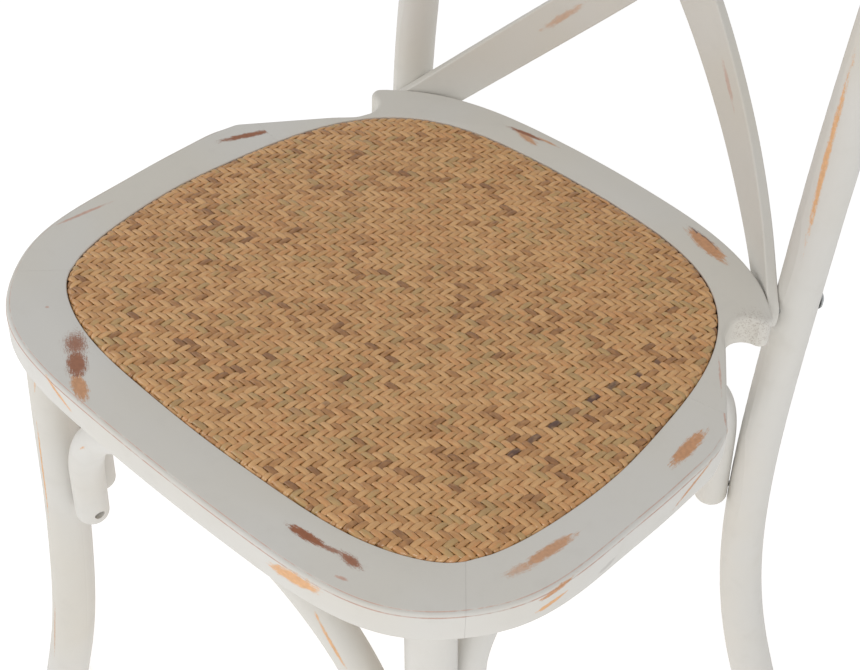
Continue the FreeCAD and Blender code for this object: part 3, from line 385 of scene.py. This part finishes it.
def bilinear(f, q):
    i = np.clip((q[:, 0] - GX[0]) / 1.25, 0, len(GX) - 1.001)
    j = np.clip((q[:, 1] - GY[0]) / 1.25, 0, len(GY) - 1.001)
    a, b = i.astype(int), j.astype(int)
    s, t = i - a, j - b
    return (f[a, b] * (1 - s) * (1 - t) + f[a + 1, b] * s * (1 - t) + f[a, b + 1] * (1 - s) * t + f[a + 1, b + 1] * s * t)


SDX, SDY = np.gradient(SD, 1.25)


def drape(q, h):
    """Places points of the flat weave, at height h over its middle surface, on the crowned insert with turned-down edges."""
    u = bilinear(SD, q)
    g = np.stack([bilinear(SDX, q), bilinear(SDY, q)], 1)
    g /= np.maximum(np.linalg.norm(g, axis=1), 1e-6)[:, None]
    crown = 0.15 + 1.5 * (1 - np.exp(-np.maximum(u, 0) / 38.0))
    ang = np.clip((ROLL - u) / ROLL, 0, math.pi / 2)
    over = np.maximum(ROLL - u - ROLL * math.pi / 2, 0)
    rolled = u < ROLL
    d_new = np.where(rolled, ROLL * (1 - np.sin(ang)), u)
    z_new = np.where(rolled, 0.15 - ROLL * (1 - np.cos(ang)) - over, crown)
    up = np.cos(ang)
    out = np.sin(ang)
    slope = np.where(rolled, 0, 1.5 / 38.0 * np.exp(-np.maximum(u, 0) / 38.0))
    xy = q + g * (d_new - u)[:, None] - g * (out * h)[:, None] - g * (slope * h)[:, None]
    return np.c_[xy, z_new + up * h]


rng = np.random.default_rng(7)
AMP, THK = 0.62, 0.98
RING = [(-1.0, -0.42), (-0.86, 0.06), (-0.46, 0.40), (0.0, 0.50), (0.46, 0.40), (0.86, 0.06), (1.0, -0.42)]
STATIONS = 3


def smooth_noise(n, every, scale):
    k = max(4, int(n / every) + 4)
    v = rng.normal(0, scale, k)
    t = np.linspace(0, k - 1.001, n)
    i = t.astype(int)
    f = t - i
    f = f * f * (3 - 2 * f)
    return v[i] * (1 - f) + v[i + 1] * f


def strand(kind, idx):
    """One strand: vertices, faces, attributes. kind 0 runs across (X), kind 1 runs from front to back."""
    span = 58
    s = np.arange(-span, span + 1e-6, 1.0 / STATIONS)
    n = len(s)
    wob = smooth_noise(n, STATIONS * 5, 0.035) + smooth_noise(n, STATIONS * 1.6, 0.022)
    if kind == 0:
        lat = np.stack([s, np.full(n, float(idx)) + wob], 1)
        phase = (s - idx)          # over where (i - j) mod 4 is 0 or 1
        over_c = 0.5
        normal = BASIS[:, 1]
    else:
        lat = np.stack([np.full(n, float(idx)) + wob, s], 1)
        phase = (idx - s)          # the other family is over where the first is under
        over_c = 2.5
        normal = BASIS[:, 0]
    across = unit(normal)
    plan = (lat + PHASE) @ BASIS.T + ORIGIN
    u = bilinear(SD, plan)
    limit = -(ROLL * (math.pi / 2 - 1) + SKIRT)
    inside = (u > limit) & (plan[:, 0] > GX[0] + 2) & (plan[:, 0] < GX[-1] - 2) & (plan[:, 1] > GY[0] + 2) & (plan[:, 1] < GY[-1] - 2)
    if inside.sum() < 6:
        return None
    run = np.nonzero(inside)[0]
    a, b = run[0], run[-1]
    sl = slice(a, b + 1)
    plan, s, phase = plan[sl], s[sl], phase[sl]
    m = len(s)
    c = np.cos((phase - over_c) * math.pi / 2)
    lift = np.sign(c) * np.abs(c)**0.72 * AMP
    lift = lift + smooth_noise(m, STATIONS * 2.2, 0.06)
    k = np.floor((phase - over_c + 2) / 4).astype(int)
    k -= k.min()
    tone = rng.random(k.max() + 2)[k]
    width = (PITCH * 0.5) * (0.925 + 0.055 * c + smooth_noise(m, STATIONS * 7, 0.02))
    high = THK * (1.0 + rng.normal(0, 0.10, k.max() + 2)[k])
    tilt = rng.normal(0, 0.05, k.max() + 2)[k]
    strand_tone = 0.5 + smooth_noise(m, STATIONS * 14, 0.30)
    verts, sp = [], []
    for rx, rz in RING:
        q = plan + across * (rx * width)[:, None]
        h = lift + rz * high + tilt * rx * width
        verts.append(drape(q, h))
        sp.append(np.stack([s * PITCH, rx * width, np.full(m, idx * 3.7 + kind * 501.3)], 1))
    r = len(RING)
    verts = np.stack(verts, 1).reshape(-1, 3)          # station-major
    sp = np.stack(sp, 1).reshape(-1, 3)
    rep = lambda v: np.repeat(v, r)
    i = np.arange(m - 1)[:, None] * r
    j = np.arange(r)[None, :]
    jn = (j + 1) % r
    faces = np.stack([i + j, i + jn, i + r + jn, i + r + j], -1).reshape(-1, 4)
    return dict(v=verts, f=faces, tone=rep(tone), strand=rep(strand_tone), sp=sp, n=m, row=idx,
                lat=rep(s), float_id=rep(k), c=rep(c))


# stained places: (kind, strand, from, to, strength), in strands from the lattice's origin
STAINS = [(1, 25, -11.4, -8.6, 1.0), (1, 25, -7.3, -4.6, 0.9), (1, 25, -3.3, -0.6, 1.0), (1, 25, 0.8, 3.5, 0.55), (1, 25, 4.7, 7.4, 1.0),
          (1, 25, 8.8, 11.4, 0.9), (1, 26, 12.7, 15.3, 1.0), (1, 26, 16.7, 19.3, 0.8), (1, 26, 20.6, 23.3, 0.6), (1, 26, 24.6, 27.3, 0.8),
          (1, 26, 28.6, 30.4, 0.6), (0, -25, -2.4, 0.6, 0.5), (1, 1, -21.6, -19.4, 0.5), (0, 10, 27.0, 29.6, 0.45), (1, -22, 6.0, 8.6, 0.4)]


def weave_piece(name, strands, flip):
    verts, faces, tone, st, sp, mark, uv_u, uv_v = [], [], [], [], [], [], [], []
    base = 0
    r = len(RING)
    count = len(strands)
    caps = []
    longest = max(s["n"] for s in strands)
    loops_uv = []
    for row, s in enumerate(strands):
        verts.append(s["v"])
        f = s["f"] + base
        faces.append(f[:, ::-1] if flip else f)
        tone.append(s["tone"]); st.append(s["strand"]); sp.append(s["sp"])
        mk = np.zeros(len(s["v"]))
        for kind, idx, a, b, g in STAINS:
            if kind == s["kind"] and idx == s["row"]:
                mk = np.maximum(mk, g * ((s["lat"] >= a) & (s["lat"] <= b)))
        mark.append(mk)
        m = s["n"]
        # texture layout: one row for each strand, unrolled round its section
        i = np.arange(m - 1)[:, None] + 0 * np.arange(r)[None, :]
        j = 0 * np.arange(m - 1)[:, None] + np.arange(r)[None, :]
        stops = np.array([0.0, 0.14, 0.27, 0.40, 0.53, 0.66, 0.80, 1.0])
        pos = lambda ii, jj: np.stack([0.002 + 0.996 * ii / (longest - 1), (row + 0.04 + 0.92 * stops[jj]) / count], -1)
        quad = np.stack([pos(i, j), pos(i, j + 1), pos(i + 1, j + 1), pos(i + 1, j)], 2).reshape(-1, 4, 2)
        loops_uv.append(quad[:, ::-1] if flip else quad)
        caps.append((base, base + (m - 1) * r, row))
        base += len(s["v"])
    verts = np.vstack(verts)
    quads = np.vstack(faces)
    faces = [tuple(q) for q in quads.tolist()]
    uvs = [q for block in loops_uv for q in block.reshape(-1, 2)]
    for a, b, row in caps:
        for start, rev in ((a, not flip), (b, flip)):
            ring = list(range(start, start + r))
            faces.append(tuple(ring[::-1] if rev else ring))
            uvs += [np.array([0.0005, (row + 0.5) / count])] * r
    me = bpy.data.meshes.new(name)
    me.from_pydata(ROW(verts).tolist(), [], faces)
    me.update()
    me.polygons.foreach_set("use_smooth", [True] * len(me.polygons))
    layer = me.uv_layers.new(name="OFBake", do_init=False)
    layer.uv.foreach_set("vector", np.asarray(uvs, np.float32).ravel())
    ob = bpy.data.objects.new(name, me)
    bpy.context.scene.collection.objects.link(ob)
    attribute(ob, "tone", np.concatenate(tone))
    attribute(ob, "strand", np.concatenate(st))
    attribute(ob, "stain", np.concatenate(mark))
    attribute(ob, "cane", np.vstack(sp), "FLOAT_VECTOR")
    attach(ob, "root")
    return ob


families = []
for kind in (0, 1):
    found = []
    for idx in range(-56, 57):
        s = strand(kind, idx)
        if s:
            s["kind"] = kind
            found.append(s)
    families.append(found)
half0, half1 = len(families[0]) // 2, len(families[1]) // 2
WEAVE = [weave_piece("cane_across_front", families[0][:half0], True), weave_piece("cane_across_rear", families[0][half0:], True),
         weave_piece("cane_along_left", families[1][:half1], False), weave_piece("cane_along_right", families[1][half1:], False)]
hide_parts("rattan_mat")
print("weave", [len(w.data.polygons) for w in WEAVE])


# ------------------------------------------------------------------ materials
class Nodes:
    def __init__(self, name):
        self.m = bpy.data.materials.new(name)
        self.m.use_nodes = True
        self.t = self.m.node_tree
        self.t.nodes.clear()
        self.out = self.t.nodes.new("ShaderNodeOutputMaterial")
        self.bsdf = self.t.nodes.new("ShaderNodeBsdfPrincipled")
        self.link(self.bsdf.outputs[0], self.out.inputs[0])

    def link(self, a, b):
        self.t.links.new(a, b)

    def put(self, sock, v):
        if isinstance(v, bpy.types.NodeSocket):
            self.link(v, sock)
        elif v is not None:
            sock.default_value = v

    def new(self, kind, **props):
        n = self.t.nodes.new("ShaderNode" + kind)
        for k, v in props.items():
            setattr(n, k, v)
        return n

    def math(self, op, a, b=None, c=None, clamp=False):
        n = self.new("Math", operation=op, use_clamp=clamp)
        for s, v in zip(n.inputs, (a, b, c)):
            self.put(s, v)
        return n.outputs[0]

    def vec(self, op, a, b=None, scale=None):
        n = self.new("VectorMath", operation=op)
        self.put(n.inputs[0], a)
        self.put(n.inputs[1], b)
        if scale is not None:
            self.put(n.inputs["Scale"], scale)
        return n.outputs["Value"] if op in ("DOT_PRODUCT", "LENGTH", "DISTANCE") else n.outputs[0]

    def noise(self, vector, scale, detail=3.0, rough=0.55, distort=0.0):
        n = self.new("TexNoise")
        self.put(n.inputs["Vector"], vector)
        self.put(n.inputs["Scale"], scale)
        self.put(n.inputs["Detail"], detail)
        self.put(n.inputs["Roughness"], rough)
        self.put(n.inputs["Distortion"], distort)
        return n.outputs["Fac"]

    def range(self, v, a, b, c=0.0, d=1.0, smooth=True):
        n = self.new("MapRange", interpolation_type="SMOOTHSTEP" if smooth else "LINEAR", clamp=True)
        for s, x in zip(n.inputs[:5], (v, a, b, c, d)):
            self.put(s, x)
        return n.outputs[0]

    def mix(self, f, a, b, blend="MIX"):
        n = self.new("Mix", data_type="RGBA", blend_type=blend, clamp_factor=True)
        self.put(n.inputs[0], f)
        self.put(n.inputs[6], a)
        self.put(n.inputs[7], b)
        return n.outputs[2]

    def attr(self, name, out="Fac"):
        n = self.new("Attribute", attribute_name=name, attribute_type="GEOMETRY")
        return n.outputs[out]

    def ramp(self, f, stops, mode="LINEAR"):
        n = self.new("ValToRGB")
        n.color_ramp.interpolation = mode
        e = n.color_ramp.elements
        while len(e) > 1:
            e.remove(e[-1])
        e[0].position, e[0].color = stops[0][0], (*stops[0][1], 1)
        for p, c in stops[1:]:
            k = e.new(p)
            k.color = (*c, 1)
        self.put(n.inputs[0], f)
        return n.outputs[0]

    def obj(self):
        return self.new("TexCoord").outputs["Object"]

    def scaled(self, vector, s):
        return self.vec("MULTIPLY", vector, s)

    def bump(self, height, strength, distance, normal=None):
        n = self.new("Bump")
        self.put(n.inputs["Height"], height)
        n.inputs["Strength"].default_value = strength
        n.inputs["Distance"].default_value = distance
        if normal is not None:
            self.link(normal, n.inputs["Normal"])
        return n.outputs[0]


def srgb(r, g, b):
    return tuple(((c / 255 + 0.055) / 1.055)**2.4 if c > 10 else c / 255 / 12.92 for c in (r, g, b))


WOODS = {"brown": srgb(150, 98, 72), "tan": srgb(196, 146, 108), "orange": srgb(218, 166, 116), "pink": srgb(196, 156, 140),
         "dark": srgb(110, 76, 62), "grey": srgb(150, 146, 140)}


def paint(name, patches=(), edge=False, speckle=None, tone=(209, 207, 202)):
    """White paint over beech, rubbed through at the patches.
    A patch is (one end, other end, half width mm, colour, strength, softness, broken), points in seat millimetres:
    softness widens the faded rim and broken turns the fill into separate specks."""
    n = Nodes(name)
    p = n.obj()
    big = n.noise(p, 7.0, 2.0)
    mid = n.noise(p, 60.0, 4.0, 0.6)
    fine = n.noise(p, 620.0, 3.0, 0.6)
    lite = srgb(*tone)
    warm = srgb(tone[0] - 1, tone[1] - 3, tone[2] - 7)
    dull = srgb(tone[0] - 10, tone[1] - 11, tone[2] - 13)
    base = n.mix(n.range(big, 0.35, 0.68), (*lite, 1), (*warm, 1))
    base = n.mix(n.math("MULTIPLY", n.range(mid, 0.50, 0.80), 0.30), base, (*dull, 1))
    worn_and_shaded = None
    wood_and_shade_col = None
    dots = n.noise(p, 1500.0, 2.0, 0.6)
    lumps = n.noise(p, 300.0, 2.0, 0.5)
    for (c, e, half, kind, strength, soft, broken) in patches:
        c3, e3 = ROW(c), ROW(e)
        axis = (e3 - c3) / 2.0
        mid3 = (c3 + e3) / 2.0
        a = float(np.linalg.norm(axis))
        ux = axis / a
        a *= 1.2
        ref = np.array([0, 0, 1.0]) if abs(ux[2]) < 0.8 else np.array([1.0, 0, 0])
        uy = unit(np.cross(ref, ux))
        uz = np.cross(ux, uy)
        b = half * 1.12 / 1000.0
        d = n.vec("SUBTRACT", p, tuple(mid3))
        comb = n.new("CombineXYZ")
        for k, (ax, sc) in enumerate(((ux, a), (uy, b), (uz, b))):
            n.put(comb.inputs[k], n.vec("DOT_PRODUCT", d, tuple(ax / sc)))
        r = n.vec("LENGTH", comb.outputs[0])
        # fibres run along the patch
        streak = n.noise(n.vec("MULTIPLY", comb.outputs[0], (a * 130, b * 1100, b * 1100)), 1.0, 2.0, 0.6)
        f = n.math("SUBTRACT", 1.0, r)
        f = n.math("MULTIPLY_ADD", n.math("SUBTRACT", lumps, 0.5), 0.55, f)
        f = n.math("MULTIPLY_ADD", n.math("SUBTRACT", streak, 0.5), 0.8 + 0.3 * soft, f)
        f = n.math("MULTIPLY_ADD", n.math("SUBTRACT", dots, 0.5), 0.5 + 2.4 * broken, f)
        f = n.range(f, 0.0, 0.20 + 0.40 * soft, 0.0, strength)
        col = (*WOODS[kind], 1)
        if worn_and_shaded is None:
            worn_and_shaded, wood_and_shade_col = f, col
        else:
            wood_and_shade_col = n.mix(n.range(n.math("SUBTRACT", f, worn_and_shaded), 0.0, 0.1), wood_and_shade_col, col)
            worn_and_shaded = n.math("MAXIMUM", worn_and_shaded, f)
    # edge: rubbed-through edge lines, plus painted shade on the groove wall
    if edge:
        e = n.attr("edge_wear_and_shade")
        gaps = n.noise(p, 30.0, 3.0, 0.6)
        tiny = n.noise(p, 240.0, 2.0, 0.6)
        line = n.math("MULTIPLY", n.range(e, 0.0, 1.0), n.range(n.math("MULTIPLY_ADD", tiny, 0.4, gaps), 0.42, 0.86))
        line = n.range(line, 0.05, 0.95, 0.0, 0.80)
        if worn_and_shaded is None:
            worn_and_shaded, wood_and_shade_col = line, (*WOODS["pink"], 1)
        else:
            wood_and_shade_col = n.mix(n.range(n.math("SUBTRACT", line, worn_and_shaded), 0.0, 0.1), wood_and_shade_col, (*WOODS["pink"], 1))
            worn_and_shaded = n.math("MAXIMUM", worn_and_shaded, line)
        # painted shade down in the groove: the groove wall gets a dark brown colour for the shadow that falls there
        groove_shade = n.range(e, 1.05, 1.5)
        wood_and_shade_col = n.mix(groove_shade, wood_and_shade_col, (*srgb(74, 48, 34), 1))
        worn_and_shaded = n.math("MAXIMUM", worn_and_shaded, groove_shade)
    if speckle is not None:
        c3, e3 = ROW(speckle[0]), ROW(speckle[1])
        rad = float(np.linalg.norm(e3 - c3))
        r = n.math("DIVIDE", n.vec("DISTANCE", p, tuple(c3)), rad)
        vor = n.new("TexVoronoi", feature="F1")
        n.put(vor.inputs["Vector"], n.scaled(p, (1700.0, 1700.0, 900.0)))
        vor.inputs["Scale"].default_value = 1.0
        pores = n.range(vor.outputs["Distance"], 0.44, 0.14, 0.0, 0.85)
        thin = n.range(n.noise(p, 380.0, 2.0), 0.36, 0.52)
        f = n.math("MULTIPLY", n.math("MULTIPLY", pores, thin), n.range(r, 1.0, 0.5))
        if worn_and_shaded is None:
            worn_and_shaded, wood_and_shade_col = f, (*srgb(112, 82, 66), 1)
        else:
            wood_and_shade_col = n.mix(n.range(n.math("SUBTRACT", f, worn_and_shaded), 0.0, 0.1), wood_and_shade_col, (*srgb(112, 82, 66), 1))
            worn_and_shaded = n.math("MAXIMUM", worn_and_shaded, f)
    if worn_and_shaded is not None:
        wood_grain = n.noise(p, 420.0, 2.0)
        shade = n.math("MULTIPLY_ADD", wood_grain, 0.5, 0.75)
        tint = n.new("CombineColor")
        for s in tint.inputs:
            n.put(s, shade)
        # where the mask is full this colour is bare wood or, in the groove, painted shade
        wood = n.mix(1.0, wood_and_shade_col, tint.outputs[0], "MULTIPLY")
        colour = n.mix(worn_and_shaded, base, wood)
        n.put(n.bsdf.inputs["Roughness"], n.math("MULTIPLY_ADD", worn_and_shaded, 0.22, n.range(mid, 0.3, 0.7, 0.46, 0.54)))
        h = n.math("MULTIPLY_ADD", worn_and_shaded, -0.9, n.math("MULTIPLY", fine, 0.35))
    else:
        colour = base
        n.put(n.bsdf.inputs["Roughness"], n.range(mid, 0.3, 0.7, 0.46, 0.54))
        h = n.math("MULTIPLY", fine, 0.35)
    h = n.math("MULTIPLY_ADD", mid, 0.6, h)
    n.put(n.bsdf.inputs["Base Color"], colour)
    n.put(n.bsdf.inputs["Normal"], n.bump(h, 0.5, 0.00012))
    n.bsdf.inputs["Specular IOR Level"].default_value = 0.35
    return n.m


def cane(name):
    n = Nodes(name)
    tone = n.attr("tone")
    strand_tone = n.attr("strand")
    sp = n.attr("cane", "Vector")
    stain = n.attr("stain")
    fibre = n.noise(n.scaled(sp, (0.16, 4.6, 1.0)), 1.0, 3.0, 0.6)
    blot = n.noise(n.scaled(sp, (0.20, 0.34, 1.0)), 1.0, 2.0, 0.5)
    mixed = n.math("ADD", n.math("MULTIPLY", tone, 0.66), n.math("MULTIPLY", strand_tone, 0.26))
    mixed = n.math("MULTIPLY_ADD", n.math("SUBTRACT", blot, 0.5), 0.36, mixed)
    col = n.ramp(mixed, [(0.04, srgb(140, 96, 56)), (0.16, srgb(176, 126, 76)), (0.34, srgb(200, 152, 98)), (0.52, srgb(212, 166, 112)),
                         (0.64, srgb(200, 144, 90)), (0.76, srgb(186, 152, 100)), (0.90, srgb(172, 138, 90))])
    col = n.mix(n.math("MULTIPLY", n.range(fibre, 0.50, 0.78), 0.46), col, (*srgb(140, 96, 60), 1))
    col = n.mix(n.math("MULTIPLY", n.range(fibre, 0.46, 0.24), 0.25), col, (*srgb(236, 204, 156), 1))
    fleck = n.noise(n.scaled(sp, (0.62, 0.9, 1.0)), 1.0, 2.0, 0.7)
    col = n.mix(n.math("MULTIPLY", n.range(fleck, 0.74, 0.84), 0.75), col, (*srgb(100, 64, 42), 1))
    col = n.mix(n.math("MULTIPLY", stain, n.range(blot, 0.30, 0.60, 0.6, 1.0)), col, (*srgb(92, 62, 48), 1))
    n.put(n.bsdf.inputs["Base Color"], col)
    n.put(n.bsdf.inputs["Roughness"], n.range(fibre, 0.3, 0.7, 0.24, 0.38))
    n.bsdf.inputs["Specular IOR Level"].default_value = 0.5
    n.bsdf.inputs["Coat Weight"].default_value = 0.5
    n.bsdf.inputs["Coat Roughness"].default_value = 0.16
    n.put(n.bsdf.inputs["Normal"], n.bump(fibre, 0.55, 0.00016))
    return n.m


def steel(name):
    n = Nodes(name)
    p = n.obj()
    f = n.noise(n.scaled(p, (900.0, 900.0, 2600.0)), 1.0, 3.0, 0.6)
    n.put(n.bsdf.inputs["Base Color"], n.mix(n.range(f, 0.35, 0.7), (*srgb(150, 152, 152), 1), (*srgb(184, 186, 186), 1)))
    n.bsdf.inputs["Metallic"].default_value = 1.0
    n.put(n.bsdf.inputs["Roughness"], n.range(f, 0.3, 0.7, 0.28, 0.42))
    n.put(n.bsdf.inputs["Normal"], n.bump(f, 0.2, 0.00005))
    return n.m


def ply(name, colour_a, colour_b, scale):
    n = Nodes(name)
    p = n.obj()
    f = n.noise(n.scaled(p, scale), 1.0, 5.0, 0.6, 0.6)
    g = n.noise(n.scaled(p, tuple(6 * s for s in scale)), 1.0, 3.0, 0.7)
    c = n.mix(n.range(f, 0.3, 0.7), (*colour_a, 1), (*colour_b, 1))
    c = n.mix(n.math("MULTIPLY", n.range(g, 0.5, 0.8), 0.3), c, (*[0.6 * v for v in colour_a], 1))
    n.put(n.bsdf.inputs["Base Color"], c)
    n.put(n.bsdf.inputs["Roughness"], n.range(g, 0.3, 0.7, 0.55, 0.7))
    n.put(n.bsdf.inputs["Normal"], n.bump(g, 0.4, 0.0002))
    return n.m


def plastic(name, c):
    n = Nodes(name)
    p = n.obj()
    f = n.noise(p, 900.0, 2.0)
    n.put(n.bsdf.inputs["Base Color"], n.mix(f, (*c, 1), (*[1.15 * v for v in c], 1)))
    n.put(n.bsdf.inputs["Roughness"], n.range(f, 0.3, 0.7, 0.42, 0.55))
    n.put(n.bsdf.inputs["Normal"], n.bump(f, 0.2, 0.00005))
    return n.m


def dress(ob, mat):
    ob.data.materials.clear()
    ob.data.materials.append(mat)


# places where the paint is rubbed through, in seat millimetres
PATCH = {
    "front": [((-124, -155.5, 0), (-107, -168, 0), 7.0, "brown", 0.9, 0.8, 0.8),
              ((-111, -165, 0), (-91, -179.5, 0), 6.4, "brown", 0.95, 0.5, 0.35),
              ((-95, -178.5, 0), (-73, -188.5, 0), 5.0, "tan", 0.95, 0.5, 0.1),
              ((85.5, -170.8, 0), (111, -167.5, 0), 3.2, "brown", 1.0, 0.35, 0.05),
              ((108, -168.5, 0), (122, -164.5, 0), 2.0, "brown", 0.85, 0.8, 0.5),
              ((120.5, -164.5, 0), (136, -164.3, 0), 3.4, "brown", 0.95, 0.7, 0.5),
              ((130, -178, 0), (137.5, -175.4, 0), 1.3, "pink", 0.85, 0.8, 0.3),
              ((94, -193, -9.0), (128, -188.5, -6.0), 5.0, "orange", 0.9, 0.4, 0.0),
              ((-108, -191, -1.5), (-84, -193, -12.5), 1.7, "orange", 0.9, 0.5, 0.1),
              ((-156.5, -153.6, 0), (-154.5, -152, 0), 1.0, "pink", 0.7, 0.5, 0.0)],
    "right": [((196.5, -113, 0), (202, -92, 0), 3.6, "tan", 0.62, 1.0, 0.35),
              ((199.5, -101, 0), (204.2, -63, 0), 3.9, "tan", 0.9, 0.6, 0.0),
              ((210.2, 19, 0), (207.0, 54, 0), 4.6, "tan", 0.97, 0.5, 0.05),
              ((219.5, -110, -5.0), (222.0, -86, -2.0), 1.8, "tan", 0.95, 0.4, 0.1),
              ((219.0, -112, -14.5), (222.4, -91, -10.5), 1.8, "orange", 0.9, 0.4, 0.1),
              ((224.2, 4, -15.5), (223.6, 40, -2.6), 1.7, "tan", 0.9, 0.5, 0.1),
              ((219.6, 52, -3.0), (215.4, 66, -1.0), 1.4, "tan", 0.9, 0.5, 0.1),
              ((215.0, 66, 0), (196, 87, -0.4), 0.7, "pink", 0.75, 0.8, 0.2),
              ((224.3, -64, -17), (222.9, -45, -14), 2.2, "grey", 0.35, 1.0, 0.0)],
    "rear": [((-78, 201.3, 0), (-50, 206.2, 0), 2.2, "brown", 0.95, 0.7, 0.1),
             ((-73, 202.4, 0), (-50, 199.0, 0), 3.2, "tan", 0.85, 0.8, 0.1),
             ((-56, 206.4, 0), (-38, 208.2, 0), 1.3, "tan", 0.8, 0.8, 0.1),
             ((84.5, 200.6, 0), (122, 190.6, 0), 5.4, "tan", 0.97, 0.5, 0.0),
             ((84.0, 202.8, 0), (113, 196.8, 0), 2.6, "dark", 0.92, 0.8, 0.15),
             ((196, 87, -0.4), (176, 111, -0.4), 0.8, "pink", 0.7, 0.8, 0.2)],
    "left": [((-210.5, 42, 0), (-194, 77.5, 0), 3.0, "brown", 0.97, 0.6, 0.1),
             ((-216.5, -97, 0), (-210.6, -57, 0), 1.5, "pink", 0.8, 0.9, 0.15)],
}
NOTCH = {"rear": ((168.5, 157.5, -8.5), (168.5, 157.5, 9.0))}
for k, ob in seat.items():
    dress(ob, paint("paint_seat_" + k, PATCH[k], edge=True, speckle=NOTCH.get(k)))
for w in WEAVE[:2]:
    dress(w, cane("cane_across"))
for w in WEAVE[2:]:
    dress(w, cane("cane_along"))
FRAME = {
    "front_leg_left": [((-176.5, -162.0, -110), (-181.5, -162.2, -212), 1.1, "orange", 0.9, 0.5, 0.1),
                       ((-193.5, -162.6, -320), (-206, -162.8, -390), 0.9, "tan", 0.7, 0.6, 0.2),
                       ((-170, -161, -62), (-173, -161.4, -82), 0.8, "orange", 0.7, 0.8, 0.2)],
    "front_leg_right": [((168, -161, -180), (171, -161, -250), 1.1, "tan", 0.7, 0.7, 0.2)],
    "arch_front": [((104, -169, -64), (130, -168, -98), 1.2, "orange", 0.85, 0.5, 0.1),
                   ((-118, -171, -91), (-107, -171.6, -78), 1.3, "orange", 0.8, 0.6, 0.1)],
    "arch_left": [], "arch_right": [],
    "cross_slat_left": [((-83, 237.5, 64), (-58, 247.5, 91), 3.0, "tan", 0.62, 1.0, 0.15)],
    "cross_slat_right": [((58, 251.5, 98), (79, 241, 74), 2.2, "pink", 0.6, 1.0, 0.15),
                         ((128, 212, 42), (86, 238, 79), 0.6, "pink", 0.6, 0.8, 0.2)],
    "back_hoop": [((176.4, 190, 50), (173, 205, 172), 2.2, "orange", 0.9, 0.8, 0.15),
                  ((168.5, 188.5, -70), (166, 190, -120), 1.2, "dark", 0.35, 1.0, 0.2)],
    "top_rail": [],
}
for nm, marks in FRAME.items():
    dress(ND[nm], paint("paint_" + nm, marks))
STEEL = steel("steel")
for nm in ("hoop_bolts", "hoop_bolt_washers", "hoop_barrel_nuts", "rail_bolts", "rail_bolt_washers", "arch_end_screws",
           "arch_crown_screws", "slat_end_screws", "slat_crossing_screw", "board_screws"):
    dress(ND[nm], STEEL)
dress(ND["seat_board"], ply("plywood", srgb(206, 172, 128), srgb(188, 150, 104), (90.0, 8.0, 90.0)))
dress(ND["frame_dowels"], ply("dowel_wood", srgb(214, 182, 140), srgb(196, 160, 116), (60.0, 60.0, 60.0)))
dress(ND["foot_glides"], plastic("glide", srgb(196, 194, 188)))

# ------------------------------------------------------------------ floor, light, camera
FLOOR_GLOW, SKY = 0.48, 0.58


def stage_material():
    n = Nodes("floor")
    n.bsdf.inputs["Base Color"].default_value = (0.86, 0.86, 0.86, 1)
    n.bsdf.inputs["Roughness"].default_value = 0.9
    n.bsdf.inputs["Specular IOR Level"].default_value = 0.1
    n.bsdf.inputs["Emission Color"].default_value = (1, 1, 1, 1)
    n.bsdf.inputs["Emission Strength"].default_value = FLOOR_GLOW
    return n.m


floor = mesh_object("floor", [(-14, -14, 0), (14, -14, 0), (14, 14, 0), (-14, 14, 0)], [(0, 1, 2, 3)], False)
floor.data.materials.append(stage_material())

scene = bpy.context.scene
world = bpy.data.worlds.new("studio")
scene.world = world
world.use_nodes = True
wt = world.node_tree
wt.nodes.clear()
wo = wt.nodes.new("ShaderNodeOutputWorld")
bg = wt.nodes.new("ShaderNodeBackground")
bg.inputs[0].default_value = (1.0, 1.0, 1.0, 1)
bg.inputs[1].default_value = SKY
wt.links.new(bg.outputs[0], wo.inputs[0])


def area(name, at, look, size, power, colour=(1, 1, 1)):
    d = bpy.data.lights.new(name, "AREA")
    d.shape = "RECTANGLE"
    d.size, d.size_y = size
    d.energy = power
    d.color = colour
    o = bpy.data.objects.new(name, d)
    scene.collection.objects.link(o)
    o.location = at
    o.rotation_mode = "QUATERNION"
    o.rotation_quaternion = (Vector(look) - Vector(at)).to_track_quat("-Z", "Y")
    return o


area("key", (-1.9, -1.5, 1.5), (0, 0, 0.5), (1.8, 1.6), 13.0, (1.0, 0.985, 0.97))
area("front", (1.1, -1.5, 1.55), (0, 0.18, 0.62), (1.2, 0.8), 12.0, (1.0, 0.99, 0.98))

cam_data = bpy.data.cameras.new("camera")
cam = bpy.data.objects.new("camera", cam_data)
scene.collection.objects.link(cam)
scene.camera = cam
cam_data.sensor_width = 36.0
cam_data.sensor_fit = "HORIZONTAL"
cam_data.lens = 1786.018 / 860.0 * 36.0
cam_data.clip_start, cam_data.clip_end = 0.05, 60.0
AZ, EL, RL = (math.radians(v) for v in (41.8304, 42.5813, 2.2316))
back = np.array([math.sin(AZ) * math.cos(EL), -math.cos(AZ) * math.cos(EL), math.sin(EL)])
right = np.array([math.cos(AZ), math.sin(AZ), 0.0])
down = np.cross(-back, right)
cr, sr = math.cos(RL), math.sin(RL)
R = np.array([[cr, -sr, 0], [sr, cr, 0], [0, 0, 1]]) @ np.stack([right, down, -back])
loc = ROW((583.723, -614.721, 758.125))
M = Matrix.Identity(4)
for i in range(3):
    M[i][0], M[i][1], M[i][2], M[i][3] = R[0][i], -R[1][i], -R[2][i], loc[i]
cam.matrix_world = M

scene.view_settings.view_transform = "Standard"
scene.view_settings.look = "None"
scene.view_settings.exposure = 0.0
scene.view_settings.gamma = 1.0
